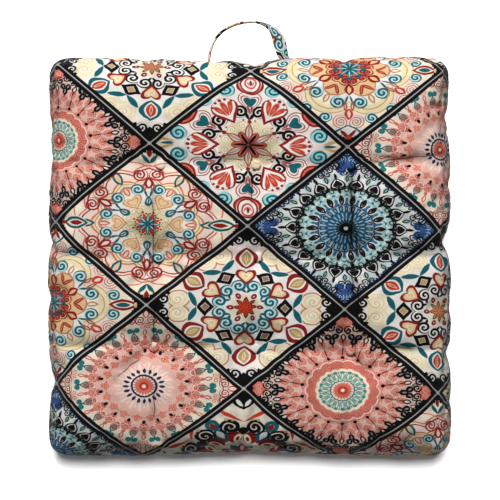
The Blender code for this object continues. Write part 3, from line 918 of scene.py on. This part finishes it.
def build_weave():
    """Plain weave with slubs: its height, and how much darker a place is."""
    w, given, put = new_group("weave", {"Cloth": None, "Thread": 0.0006}, ("Height", "Shade"))
    scale = w.math("DIVIDE", 2 * math.pi, given["Thread"])
    threads = w.split(w.scaled(given["Cloth"], scale))
    checks = threads[0].sine() * threads[1].sine()
    slubs = w.noise(given["Cloth"], 700.0, 2.0)["Fac"]
    w.feed(put["Height"], checks.times_plus(THREAD_HEIGHT, slubs * SLUB_HEIGHT))
    w.feed(put["Shade"], slubs.times_plus(0.34, 0.80))


def build_groups(sizes):
    build_diamond_place(sizes)
    forms = {"leaf": leaf_distance, "lozenge": lozenge_distance, "oval": oval_distance,
             "heart": heart_distance, "rim": rim_distance}
    for name, distance in forms.items():
        build_shape(name, distance)
    for build in (build_scroll, build_border, build_lace, build_wash, build_band, build_creases, build_weave):
        build()


def motif_mask(w, motif, cloth, place):
    """Where on the cloth a motif shows."""
    if motif.form == "border":
        return w.group("border", {
            "Side": place["Side"], "Crossing": place["Crossing"], "Width": motif.out,
            "Bump": motif.long, "Pitch": motif.wide, "Reach": motif.apart})["Mask"]
    if motif.form == "lace":
        return w.group("lace", {"Cloth": cloth, "Radius": place["Radius"], "Out": motif.out,
                                "Scale": motif.long, "Line": motif.line})["Mask"]
    return w.group(motif.form, {
        "Radius": place["Radius"], "Angle": place["Angle"], "Slice": math.pi / motif.count,
        "Turn": math.radians(motif.turn), "Out": motif.out, "Apart": motif.apart,
        "Lean": math.radians(motif.lean), "Long": motif.long, "Wide": motif.wide,
        "Taper": motif.taper, "Line": motif.line or FILLED})["Mask"]


def new_material(name, roughness):
    material = bpy.data.materials.new(name)
    material.use_nodes = True
    shader = material.node_tree.nodes["Principled BSDF"]
    shader.inputs["Roughness"].default_value = roughness
    shader.inputs["Specular IOR Level"].default_value = 0.12
    return material, shader


def make_print_material(diamond, inks):
    """One diamond of the print, with its share of the bands around it, and painted shade in its creases."""
    material, shader = new_material("print_" + diamond.name, 0.86)
    shader.inputs["Sheen Weight"].default_value = 0.03
    shader.inputs["Sheen Roughness"].default_value = 0.5
    w = Wiring(material.node_tree)

    def ink(name):
        return (*getattr(inks, name), 1)

    cloth = w.node("ShaderNodeUVMap", {}, uv_map="cloth")[0]
    creases = w.group("creases", {"Cloth": cloth})
    weave = w.group("weave", {"Cloth": cloth})
    height = creases["Height"] + weave["Height"]
    # Painted shade: the print is darkened in the crease grooves, by the stored groove depth and by the
    # creases' mask; the weave's slubs vary its tone at random
    tuck = w.node("ShaderNodeAttribute", {}, attribute_name="tuck")["Fac"]
    painted_crease_shade = tuck.times_plus(-0.85, 1.0).clamped()
    crease_shade_and_slubs = painted_crease_shade * creases["Mask"].times_plus(-0.9, 1.0) * weave["Shade"]
    place = w.group("diamond_place", {"Cloth": cloth})
    wash = w.group("wash", {"Cloth": cloth, "Amount": diamond.washed})["Mask"]
    colour = w.mix(wash, ink(diamond.ground), ink(diamond.wash))
    for motif in diamond.motifs:
        colour = w.mix(motif_mask(w, motif, cloth, place), colour, ink(motif.ink))
    band = w.group("band", {"Side": place["Side"], "Crossing": place["Crossing"]})
    colour = w.mix(band["Band"], colour, ink("black"))
    colour = w.mix(band["Line"], colour, ink("grey"))
    w.feed(shader.inputs["Base Color"], w.scaled(colour, crease_shade_and_slubs))
    bump = w.node("ShaderNodeBump", {"Height": height, "Distance": 1.0, "Strength": 0.6})[0]
    w.feed(shader.inputs["Normal"], bump)
    return material


# Shapes

def side_gaps(x, y):
    """How far each place lies inside the outline's sides and its ends."""
    return HALF_WIDTH - np.abs(x), HALF_LENGTH - np.abs(y)


def rim_rise(inside):
    share = np.clip(inside / SHOULDER, 0, 1)
    return (1 - (1 - share) ** SHOULDER_POWER) ** (1 / SHOULDER_POWER)


def plan_rise(x, y):
    across, along = side_gaps(x, y)
    return rim_rise(across) * rim_rise(along)


def crown_height(x, y):
    from_middle = np.maximum(np.abs(x) / HALF_WIDTH, np.abs(y) / HALF_LENGTH)
    top = HALF_THICKNESS - CROWN_FALL * from_middle ** 2
    return SEAM_HEIGHT + (top - SEAM_HEIGHT) * plan_rise(x, y)


def line_places(x, y, start, end):
    """How far along a line, from 0 to 1, and how far from it each place lies."""
    line_x, line_y = end[0] - start[0], end[1] - start[1]
    length = line_x ** 2 + line_y ** 2
    share = np.clip(((x - start[0]) * line_x + (y - start[1]) * line_y) / length, 0, 1)
    return share, np.hypot(x - start[0] - line_x * share, y - start[1] - line_y * share)


def valley_lines():
    """Every stretch from a tuft to its neighbour or out to the rim, with its depth."""
    places = {(tuft.column, tuft.row): (tuft.x, tuft.y) for tuft in TUFTS}
    lines = []
    for (column, row), start in places.items():
        rims = {
            (column + 1, row): (HALF_WIDTH, start[1]), (column - 1, row): (-HALF_WIDTH, start[1]),
            (column, row + 1): (start[0], HALF_LENGTH), (column, row - 1): (start[0], -HALF_LENGTH),
        }
        for end_key, rim_place in rims.items():
            depth = ROW_VALLEYS[row] if end_key[1] == row else COLUMN_VALLEYS[column]
            if end_key not in places:
                lines.append((start, rim_place, depth, True))
            elif end_key > (column, row):
                lines.append((start, places[end_key], depth, False))
    return lines


def valley_depth(x, y):
    """Depth of the deepest valley at each place on the face."""
    deepest = np.zeros_like(x)
    for start, end, depth, to_rim in valley_lines():
        share, distance = line_places(x, y, start, end)
        kept = 1 - VALLEY_EDGE * share if to_rim else 1 - VALLEY_REST * np.sin(np.pi * share)
        deepest = np.maximum(deepest, depth * kept * np.exp(-distance / VALLEY_SPREAD))
    return deepest


def side_height(x, y, depth_share):
    """Height of the tufted face above the middle plane, flat under each button."""
    inside = np.minimum(*side_gaps(x, y))
    height = crown_height(x, y) - valley_depth(x, y) * depth_share * rim_rise(inside)
    strongest = np.zeros_like(x)
    floor = np.zeros_like(x)
    for tuft in TUFTS:
        distance = np.hypot(x - tuft.x, y - tuft.y)
        hold = np.exp(-np.maximum(0, distance - TUFT_FLOOR) / TUFT_SPREAD)
        bottom = crown_height(tuft.x, tuft.y) - tuft.depth * depth_share
        floor = np.where(hold > strongest, bottom, floor)
        strongest = np.maximum(hold, strongest)
    return height + (floor - height) * strongest


def plan_place(u, v):
    """The flat rounded square's place of cube points, with the cells a little closer at the rim."""
    x = HALF_WIDTH * ((1 + RIM_CROWDING) * u - RIM_CROWDING * u ** 3)
    y = HALF_LENGTH * ((1 + RIM_CROWDING) * v - RIM_CROWDING * v ** 3)
    corner_x = (np.abs(x) - (HALF_WIDTH - CORNER_RADIUS)) / CORNER_RADIUS
    corner_y = (np.abs(y) - (HALF_LENGTH - CORNER_RADIUS)) / CORNER_RADIUS
    cornered = (corner_x > 0) & (corner_y > 0)
    disc_x = corner_x * np.sqrt(1 - np.where(cornered, corner_y, 0) ** 2 / 2)
    disc_y = corner_y * np.sqrt(1 - np.where(cornered, corner_x, 0) ** 2 / 2)
    round_x = np.copysign(HALF_WIDTH - CORNER_RADIUS + CORNER_RADIUS * disc_x, x)
    round_y = np.copysign(HALF_LENGTH - CORNER_RADIUS + CORNER_RADIUS * disc_y, y)
    return np.where(cornered, round_x, x), np.where(cornered, round_y, y)


def outward(x, y):
    """The direction in which the outline faces at each point on it."""
    reach_x = np.maximum(np.abs(x) - (HALF_WIDTH - CORNER_RADIUS), 0)
    reach_y = np.maximum(np.abs(y) - (HALF_LENGTH - CORNER_RADIUS), 0)
    length = np.maximum(np.hypot(reach_x, reach_y), TINY)
    return np.copysign(reach_x / length, x), np.copysign(reach_y / length, y)


def drawn_in(x, y):
    """How far each plan point moves inwards by the pulls of the sewn edge near it."""
    shift_x = np.zeros_like(x)
    shift_y = np.zeros_like(y)
    sides = {
        "left": (1, 0, HALF_WIDTH + x, y), "right": (-1, 0, HALF_WIDTH - x, y),
        "top": (0, -1, HALF_LENGTH - y, x), "bottom": (0, 1, HALF_LENGTH + y, x),
    }
    for pull in EDGE_PULLS:
        to_x, to_y, inside, along = sides[pull.side]
        fade = np.maximum(0, 1 - inside / PULL_DEPTH_IN) ** 2
        amount = pull.depth * fade * np.exp(-((along - pull.at) / pull.reach) ** 2)
        shift_x = shift_x + to_x * amount
        shift_y = shift_y + to_y * amount
    return shift_x, shift_y


def cushion_places(cube):
    """Where the points of the cube from -1 to 1 go on the filled cushion, and their flat plan."""
    x, y = plan_place(cube[:, 0], cube[:, 1])
    w = cube[:, 2]
    shift_x, shift_y = drawn_in(x, y)
    out_x, out_y = outward(x, y)
    wall = np.abs(w) < CUBE_FACE
    bulge = np.where(wall, WALL_BULGE * (1 - w * w), 0)
    top = HALF_THICKNESS + side_height(x, y, 1)
    pressed = FLOOR_PRESS * plan_rise(x, y)
    under = np.maximum(0, HALF_THICKNESS - side_height(x, y, BACK_TUFT_SHARE) - pressed)
    z = np.where(wall, HALF_THICKNESS + SEAM_HEIGHT * w, np.where(w > 0, top, under))
    placed = np.stack((x + shift_x + out_x * bulge, y + shift_y + out_y * bulge + CENTRE_Y, z), axis=1)
    return placed, np.stack((x, y, w), axis=1)


# Meshes

def read(items, field, width, kind=np.float64):
    """One field of every vertex, corner or face, as an array."""
    values = np.empty(len(items) * width, dtype=kind)
    items.foreach_get(field, values)
    return values.reshape(-1, width)


def read_points(mesh):
    return read(mesh.vertices, "co", 3)


def write_points(mesh, points):
    mesh.vertices.foreach_set("co", np.ascontiguousarray(points, dtype=np.float32).ravel())
    mesh.update()


def corner_points(mesh):
    """The number of the point at each face corner."""
    return read(mesh.loops, "vertex_index", 1, np.int64)[:, 0]


def face_middles(mesh, corners):
    """The mean over each face of what its corners have, and how many corners it has."""
    totals = read(mesh.polygons, "loop_total", 1, np.int64)[:, 0]
    starts = np.cumsum(totals) - totals
    return np.add.reduceat(corners, starts, axis=0) / totals[:, None], totals


def write_cloth(mesh, u, v):
    """Keeps the place on the cloth of each face corner as the cloth map."""
    layer = mesh.uv_layers.new(name="cloth")
    layer.data.foreach_set("uv", np.stack((u, v), axis=1).astype(np.float32).ravel())


def deselect_all():
    if bpy.context.object and bpy.context.object.mode != "OBJECT":
        bpy.ops.object.mode_set(mode="OBJECT")
    bpy.ops.object.select_all(action="DESELECT")


def pick(piece):
    """Makes one piece the only selected and active one."""
    deselect_all()
    piece.select_set(True)
    bpy.context.view_layer.objects.active = piece


def name_new(name):
    """Names the object that was just added, and its data."""
    piece = bpy.context.object
    piece.name = name
    piece.data.name = name
    return piece


def cut_cube(piece, cells):
    """Cuts the cube's edges along each axis into equal lengths."""
    bpy.ops.object.mode_set(mode="EDIT")
    bpy.ops.mesh.select_mode(type="EDGE")
    for axis, count in enumerate(cells):
        bpy.ops.mesh.select_all(action="DESELECT")
        grid = bmesh.from_edit_mesh(piece.data)
        for edge in grid.edges:
            line = (edge.verts[1].co - edge.verts[0].co).normalized()
            edge.select = abs(line[axis]) > CUBE_FACE
        bmesh.update_edit_mesh(piece.data)
        bpy.ops.mesh.subdivide(number_cuts=count - 1)
    bpy.ops.object.mode_set(mode="OBJECT")


def add_cut_cube(name, cells):
    deselect_all()
    bpy.ops.mesh.primitive_cube_add(size=2)
    piece = name_new(name)
    cut_cube(piece, cells)
    return piece


def subdivide_smooth(piece):
    modifier = piece.modifiers.new("Smooth", "SUBSURF")
    modifier.levels = 1
    modifier.render_levels = 1
    pick(piece)
    bpy.ops.object.modifier_apply(modifier="Smooth")


def diamond_kinds(u, v, sizes):
    """Which kind of diamond each place on the cloth lies in."""
    x = u - DIAMOND_ORIGIN[0]
    y = v - DIAMOND_ORIGIN[1]
    cosine, sine = math.cos(DIAMOND_TURN), math.sin(DIAMOND_TURN)
    across = (x * cosine - y * sine) / sizes.half_width
    up = (x * sine + y * cosine) / sizes.half_height
    rising = np.floor((across + up + 1) / 2).astype(int) % 3
    falling = np.floor((across - up + 1) / 2).astype(int) % 3
    return list(zip(rising.tolist(), falling.tolist()))


def put_print_on(mesh, sizes):
    """Gives each face of a mesh the material of the diamond that it lies in."""
    middles, _ = face_middles(mesh, read(mesh.uv_layers["cloth"].data, "uv", 2, np.float32))
    kinds = diamond_kinds(middles[:, 0], middles[:, 1], sizes)
    order = {kind: index for index, kind in enumerate(sorted(set(kinds)))}
    mesh.materials.clear()
    for kind in order:
        mesh.materials.append(bpy.data.materials["print_" + DIAMONDS[kind].name])
    mesh.polygons.foreach_set("material_index", np.array([order[kind] for kind in kinds], dtype=np.int32))
    mesh.update()


def hand_in(piece, node, sizes):
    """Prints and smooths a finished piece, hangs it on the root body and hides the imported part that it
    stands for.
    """
    put_print_on(piece.data, sizes)
    pick(piece)
    bpy.ops.object.shade_smooth()
    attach(piece, "root")
    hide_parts(node)


# Cover

def face_cloth(x, y):
    """The print's place on the face; the cloth curves down at the rim, so more of it lies there."""
    across, along = side_gaps(x, y)
    near_x = np.clip(1 - across / SHOULDER, 0, 1) ** 2
    near_y = np.clip(1 - along / SHOULDER, 0, 1) ** 2
    return x + np.copysign(CLOTH_OVER_RIM * near_x, x), y + np.copysign(CLOTH_OVER_RIM * near_y, y)


def lay_cloth(mesh, cube, plan):
    """Writes the cloth map: the wall carries the face's print on, and the back has its own place on it."""
    corners = corner_points(mesh)
    at = cube[corners]
    middles, totals = face_middles(mesh, at)
    middle = np.repeat(middles, totals, axis=0)
    x, y = plan[corners, 0], plan[corners, 1]
    face_u, face_v = face_cloth(x, y)
    down = SEAM_HEIGHT * (1 - at[:, 2])
    side_x = np.abs(middle[:, 0]) > CUBE_FACE
    side_y = np.abs(middle[:, 1]) > CUBE_FACE
    on_back = middle[:, 2] < -CUBE_FACE
    u = np.where(on_back, BACK_CLOTH - face_u, face_u + np.where(side_x, np.copysign(down, x), 0))
    write_cloth(mesh, u, face_v + np.where(side_y, np.copysign(down, y), 0))


def fill_cover(piece, plan, sizes):
    """Fills the cover by a cloth simulation with its tufts held, and keeps the move small."""
    start = read_points(piece.data)
    held = piece.vertex_groups.new(name="held")
    nearest = np.min([np.hypot(plan[:, 0] - tuft.x, plan[:, 1] - tuft.y) for tuft in TUFTS], axis=0)
    on_side = np.abs(plan[:, 2]) > CUBE_FACE
    on_rim = np.minimum(*side_gaps(plan[:, 0], plan[:, 1])) < RIM_NEAR
    tied = on_side & (nearest < TUFT_FLOOR + TUFT_NEAR)
    held.add(np.flatnonzero(tied).tolist(), 1.0, "REPLACE")
    held.add(np.flatnonzero(~tied & on_rim & on_side).tolist(), 0.5, "REPLACE")
    filling = piece.modifiers.new("Filling", "CLOTH")
    for name, value in FILLING.items():
        setattr(filling.settings, name, value)
    filling.settings.effector_weights.gravity = 0
    filling.collision_settings.use_collision = False
    filling.point_cache.frame_start = 1
    filling.point_cache.frame_end = sizes.filling_frames
    for frame in range(1, sizes.filling_frames + 1):
        bpy.context.scene.frame_set(frame)
    pick(piece)
    bpy.ops.object.modifier_apply(modifier="Filling")
    bpy.context.scene.frame_set(1)
    piece.vertex_groups.clear()
    move = read_points(piece.data) - start
    length = np.maximum(np.linalg.norm(move, axis=1), TINY)
    reach = sizes.filling_reach * np.where(on_side, 1 - np.exp(-(nearest / TUFT_CALM) ** 2), 1)
    rest = start + move * np.minimum(1, reach / length)[:, None]
    rest[:, 2] = np.maximum(rest[:, 2], 0)
    write_points(piece.data, rest)


def gathers(x, y):
    """Small folds that run out from each tuft, as heights."""
    rng = np.random.default_rng(11)
    total = np.zeros_like(x)
    for tuft in TUFTS:
        distance = np.hypot(x - tuft.x, y - tuft.y)
        angle = np.arctan2(y - tuft.y, x - tuft.x)
        folds = np.zeros_like(x)
        for count in GATHER_FOLDS:
            folds += rng.uniform(0.4, 1.0) * np.cos(count * angle + rng.uniform(0, 2 * np.pi))
        reach = distance / GATHER_REACH
        total += GATHER_HEIGHT * folds * reach * np.exp(1 - reach) * (distance > BUTTON_RADIUS)
    return total


def crease_grooves(x, y):
    """How deep the cloth lies in and beside the tucks of the face."""
    deepest = np.zeros_like(x)
    for crease in CREASES:
        _, distance = line_places(x, y, (crease.x1, crease.y1), (crease.x2, crease.y2))
        deepest = np.maximum(deepest, 2.0 * crease.depth * np.exp(-distance / CREASE_SPREAD))
    return deepest


def crumples(x, y):
    """Faint uneven waves of the filled cloth, as heights."""
    rng = np.random.default_rng(5)
    total = np.zeros_like(x)
    for _ in range(CRUMPLE_COUNT):
        angle = rng.uniform(0, np.pi)
        wave = 2 * np.pi / rng.uniform(*CRUMPLE_PITCHES)
        phase = rng.uniform(0, 2 * np.pi)
        total += np.sin(wave * (x * np.cos(angle) + y * np.sin(angle)) + phase)
    return CRUMPLE_HEIGHT * total


def seam_ripple(along, distance):
    """The groove of a seam and the small gathers beside it, as depths."""
    groove = SEAM_GROOVE * np.exp(-(distance / SEAM_WIDTH) ** 2)
    ripple = np.sin(along * 2 * np.pi / RIPPLE_PITCH + 1.7 * np.sin(along * 31)) * np.sin(along * 47)
    return groove + RIPPLE_DEPTH * ripple * np.exp(-np.abs(distance) / RIPPLE_REACH)


def finish_cover(mesh):
    """Adds the fine folds of the tufts and seams to the subdivided cover, and keeps how deep the crease
    grooves are, to paint shade into the print there.
    """
    plan = read(mesh.attributes["plan"].data, "vector", 3)
    x, y, w = plan.T
    across, lengthwise = side_gaps(x, y)
    inside = np.minimum(across, lengthwise)
    on_side = np.abs(w) > CUBE_FACE
    from_seam = np.where(on_side, np.maximum(inside, 0) * 1.4, (1 - np.abs(w)) * SEAM_HEIGHT)
    along = np.where(across < lengthwise, y, x)
    depth = seam_ripple(along + np.sign(w) * 0.4, from_seam)
    grooves = crease_grooves(x, y) * (w > CUBE_FACE)
    lift = gathers(x, y) * on_side + crumples(x + w * 0.3, y) - grooves - depth
    moved = read_points(mesh) + read(mesh.vertices, "normal", 3) * lift[:, None]
    moved[:, 2] = np.maximum(moved[:, 2], 0)
    write_points(mesh, moved)
    mesh.attributes.remove(mesh.attributes["plan"])
    # Painted shade: the print darkens where this is high, in and beside the crease grooves
    tucks = mesh.attributes.new("tuck", "FLOAT", "POINT")
    tucks.data.foreach_set("value", ((grooves / DEEPEST_GROOVE) ** 1.5).astype(np.float32))


def keep_plan(mesh, plan):
    attribute = mesh.attributes.new("plan", "FLOAT_VECTOR", "POINT")
    attribute.data.foreach_set("vector", plan.astype(np.float32).ravel())


class CUSHION_OT_cloth(bpy.types.Operator):
    """Makes the nine diamonds of the printed cloth"""

    bl_idname = "cushion.make_cloth"
    bl_label = "Printed Cloth"

    def execute(self, context):
        build_groups(context.scene.cushion_sizes)
        for diamond in DIAMONDS.values():
            make_print_material(diamond, context.scene.print_inks)
        return {"FINISHED"}


class CUSHION_OT_cover(bpy.types.Operator):
    """Makes the filled and tufted cover"""

    bl_idname = "cushion.make_cover"
    bl_label = "Filled Cover"

    def execute(self, context):
        sizes = context.scene.cushion_sizes
        piece = add_cut_cube("cushion_cover", (sizes.face_cells, sizes.face_cells, sizes.wall_cells))
        cube = read_points(piece.data)
        placed, plan = cushion_places(cube)
        lay_cloth(piece.data, cube, plan)
        write_points(piece.data, placed)
        fill_cover(piece, plan, sizes)
        keep_plan(piece.data, plan)
        subdivide_smooth(piece)
        finish_cover(piece.data)
        hand_in(piece, "cushion", sizes)
        return {"FINISHED"}


def smooth_between(before, start, end, after, share):
    """A Catmull-Rom curve through start and end."""
    return 0.5 * (
        2 * start + (end - before) * share
        + (2 * before - 5 * start + 4 * end - after) * share ** 2
        + (3 * start - before - 3 * end + after) * share ** 3
    )


def loop_sections():
    """Points along the loop's middle line, x and y, with their turns."""
    last = len(LOOP) - 1
    rows = []
    for index, point in enumerate(LOOP):
        wall = LEFT_WALL + (RIGHT_WALL - LEFT_WALL) * index / last
        rows.append(np.array((point.x, wall + point.out, math.radians(point.turn))))
    sections = [np.array((rows[0][0], LEFT_WALL, rows[0][2]))]
    for index in range(last):
        before = rows[max(index - 1, 0)]
        after = rows[min(index + 2, last)]
        for step in range(LOOP_STEPS):
            sections.append(smooth_between(before, rows[index], rows[index + 1], after, step / LOOP_STEPS))
    return np.array(sections + [rows[last], np.array((rows[last][0], RIGHT_WALL, rows[last][2]))])


def shape_strap(cube, sizes):
    """Puts the cube's points on the folded strap; returns them and their places on the cloth."""
    sections = loop_sections()
    lengths = np.concatenate(([0], np.cumsum(np.hypot(np.diff(sections[:, 0]), np.diff(sections[:, 1])))))
    at = (cube[:, 0] + 1) / 2 * lengths[-1]

    def along(places, column):
        return np.interp(places, lengths, sections[:, column])

    step = 0.001
    ahead = np.stack([along(at + step, axis) - along(at - step, axis) for axis in (0, 1)], axis=1)
    ahead = np.pad(ahead, ((0, 0), (0, 1)))
    ahead /= np.linalg.norm(ahead, axis=1)[:, None]
    up = np.array((0, 0, 1.0))
    turn = along(at, 2)[:, None]
    width_way = np.cos(turn) * up + np.sin(turn) * np.cross(ahead, up)
    thick_way = np.cross(width_way, ahead)
    across = cube[:, 1] * sizes.strap_width / 2
    aside = np.abs(cube[:, 1])
    edge = 1 - aside ** 6 * STRAP_EDGE
    stitched = 1 - STITCH_DEPTH * np.exp(-((aside - STITCH_PLACE) / STITCH_WIDTH) ** 2)
    crumple = 1 + STRAP_CRUMPLE * np.sin(at * 260 + 2 * np.sin(at * 90)) * np.cos(aside * 5)
    through = cube[:, 2] * sizes.strap_thickness / 2 * edge * stitched * crumple
    middle = np.stack((along(at, 0), along(at, 1), np.full_like(at, HALF_THICKNESS)), axis=1)
    placed = middle + width_way * across[:, None] + thick_way * through[:, None]
    u = LOOP_CLOTH[0] + at
    v = LOOP_CLOTH[1] + np.where(cube[:, 2] > 0, across, sizes.strap_width - across)
    return placed, u, v


class CUSHION_OT_loop(bpy.types.Operator):
    """Makes the hand loop, a strip of the cloth folded flat and sewn in at both feet"""

    bl_idname = "cushion.make_loop"
    bl_label = "Hand Loop"

    def execute(self, context):
        sizes = context.scene.cushion_sizes
        piece = add_cut_cube("hand_loop", LOOP_CELLS)
        placed, u, v = shape_strap(read_points(piece.data), sizes)
        corners = corner_points(piece.data)
        write_cloth(piece.data, u[corners], v[corners])
        write_points(piece.data, placed)
        subdivide_smooth(piece)
        hand_in(piece, "handle", sizes)
        return {"FINISHED"}


def shape_button(points, radius, height, number):
    """Turns a ball into a covered button: a flat back, a full brim and small gathers."""
    x, y, z = points.T
    around = np.arctan2(y, x)
    flat = np.hypot(x, y)
    dome = BUTTON_BRIM + (1 - BUTTON_BRIM) * np.sqrt(np.maximum(z, 0))
    up = np.where(z > 0, dome, BUTTON_BRIM * (1 + z))
    rng = np.random.default_rng(number)
    folds = np.cos(13 * around + rng.uniform(0, 6)) + 0.6 * np.cos(8 * around + rng.uniform(0, 6))
    gathered = 1 + BUTTON_GATHERS * folds * np.clip(1 - z, 0, 1) * flat
    dent = 1 - BUTTON_DENT * np.exp(-(flat / 0.35) ** 2)
    back = np.maximum(flat, BUTTON_BACK * np.minimum(1, flat * 8))
    wide = np.where(z < 0, back, flat) / np.maximum(flat, 1e-6) * gathered * radius
    return np.stack((x * wide, y * wide, up * height * dent), axis=1)


def make_button(side, number, tuft, sizes):
    node = "button_%s_%d" % (side, number)
    low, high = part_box(node)
    deselect_all()
    bpy.ops.mesh.primitive_uv_sphere_add(segments=40, ring_count=16, radius=1)
    piece = name_new("covered_" + node)
    mesh = piece.data
    shaped = shape_button(read_points(mesh), (high.x - low.x) / 2, high.z - low.z, number)
    scrap = BUTTON_SCRAPS.get(number, (0, 0))
    u = tuft.x + scrap[0] + shaped[:, 0]
    v = tuft.y + scrap[1] + shaped[:, 1]
    if side == "back":
        u = BACK_CLOTH - u
        shaped[:, 2] = high.z - shaped[:, 2]
        shaped[:, 0] *= -1
    else:
        shaped[:, 2] += low.z
    shaped[:, 0] += (high.x + low.x) / 2
    shaped[:, 1] += (high.y + low.y) / 2
    corners = corner_points(mesh)
    mesh.uv_layers.remove(mesh.uv_layers[0])
    write_cloth(mesh, u[corners], v[corners])
    write_points(mesh, shaped)
    hand_in(piece, node, sizes)


class CUSHION_OT_buttons(bpy.types.Operator):
    """Makes the nine covered buttons of the face and the nine of the underside"""

    bl_idname = "cushion.make_buttons"
    bl_label = "Covered Buttons"

    def execute(self, context):
        for number, tuft in enumerate(TUFTS, start=1):
            for side in ("face", "back"):
                make_button(side, number, tuft, context.scene.cushion_sizes)
        return {"FINISHED"}


def add_light(name, place, size, power):
    """A round soft light that shines at the cushion's middle."""
    deselect_all()
    direction = Vector((0, CENTRE_Y, 0.05)) - Vector(place)
    turn = direction.to_track_quat("-Z", "Y").to_euler()
    bpy.ops.object.light_add(type="AREA", radius=1, location=place, rotation=turn)
    light = name_new(name)
    light.data.shape = "DISK"
    light.data.size = size
    light.data.energy = power
    return light


class CUSHION_OT_stage(bpy.types.Operator):
    """Sets the pale floor, the soft light and the camera"""

    bl_idname = "cushion.make_stage"
    bl_label = "Stage and Light"

    def execute(self, context):
        deselect_all()
        bpy.ops.mesh.primitive_grid_add(x_subdivisions=4, y_subdivisions=4, size=14)
        floor = name_new("floor")
        material, shader = new_material("pale_floor", 0.9)
        w = Wiring(material.node_tree)
        place = w.node("ShaderNodeTexCoord", {})["Object"]
        grain = w.node("ShaderNodeTexNoise", {"Vector": place, "Scale": 3.0})["Fac"]
        w.feed(shader.inputs["Base Color"], w.mix(grain, (0.88, 0.88, 0.88, 1), (0.90, 0.90, 0.90, 1)))
        floor.data.materials.append(material)
        floor.visible_diffuse = False

        add_light("key_light", (-0.36, 2.6, 2.5), 1.1, 148)
        glow = add_light("floor_light", (0.1, 1.5, 4.9), 2.7, 720)
        lit_floor = bpy.data.collections.new("lit_floor")
        lit_floor.objects.link(floor)
        glow.light_linking.receiver_collection = lit_floor
        world = bpy.data.worlds.new("soft_room")
        world.use_nodes = True
        sky = world.node_tree.nodes["Background"]
        sky.inputs["Color"].default_value = (1.0, 1.0, 1.0, 1)
        sky.inputs["Strength"].default_value = 0.18
        context.scene.world = world

        bpy.ops.object.camera_add(location=(0.0008, -0.0206, 6.08), rotation=(0, 0, 0))
        camera = name_new("camera")
        camera.data.sensor_width = 36
        camera.data.lens = camera.data.sensor_width * VIEW_DISTANCE / VIEW_WIDTH
        camera.data.clip_end = 60
        context.scene.camera = camera
        context.scene.view_settings.view_transform = "Standard"
        return {"FINISHED"}


class CUSHION_PT_sidebar(bpy.types.Panel):
    """Lists the pieces of the cushion"""

    bl_idname = "CUSHION_PT_sidebar"
    bl_label = "Meditation Cushion"
    bl_space_type = "VIEW_3D"
    bl_region_type = "UI"
    bl_category = "Cushion"

    def draw(self, context):
        for operator in OPERATORS:
            self.layout.operator(operator.bl_idname)
        for name in CushionSizes.__annotations__:
            self.layout.prop(context.scene.cushion_sizes, name)
        for name in INKS:
            self.layout.prop(context.scene.print_inks, name)


OPERATORS = (CUSHION_OT_cloth, CUSHION_OT_cover, CUSHION_OT_loop, CUSHION_OT_buttons, CUSHION_OT_stage)
CLASSES = (PrintInks, CushionSizes) + OPERATORS + (CUSHION_PT_sidebar,)


def register():
    for piece in CLASSES:
        bpy.utils.register_class(piece)
    bpy.types.Scene.print_inks = PointerProperty(type=PrintInks)
    bpy.types.Scene.cushion_sizes = PointerProperty(type=CushionSizes)


def unregister():
    del bpy.types.Scene.cushion_sizes
    del bpy.types.Scene.print_inks
    for piece in reversed(CLASSES):
        bpy.utils.unregister_class(piece)


def main():
    register()
    bpy.ops.cushion.make_cloth()
    bpy.ops.cushion.make_cover()
    bpy.ops.cushion.make_loop()
    bpy.ops.cushion.make_buttons()
    bpy.ops.cushion.make_stage()
    deselect_all()


if __name__ == "__main__":
    main()
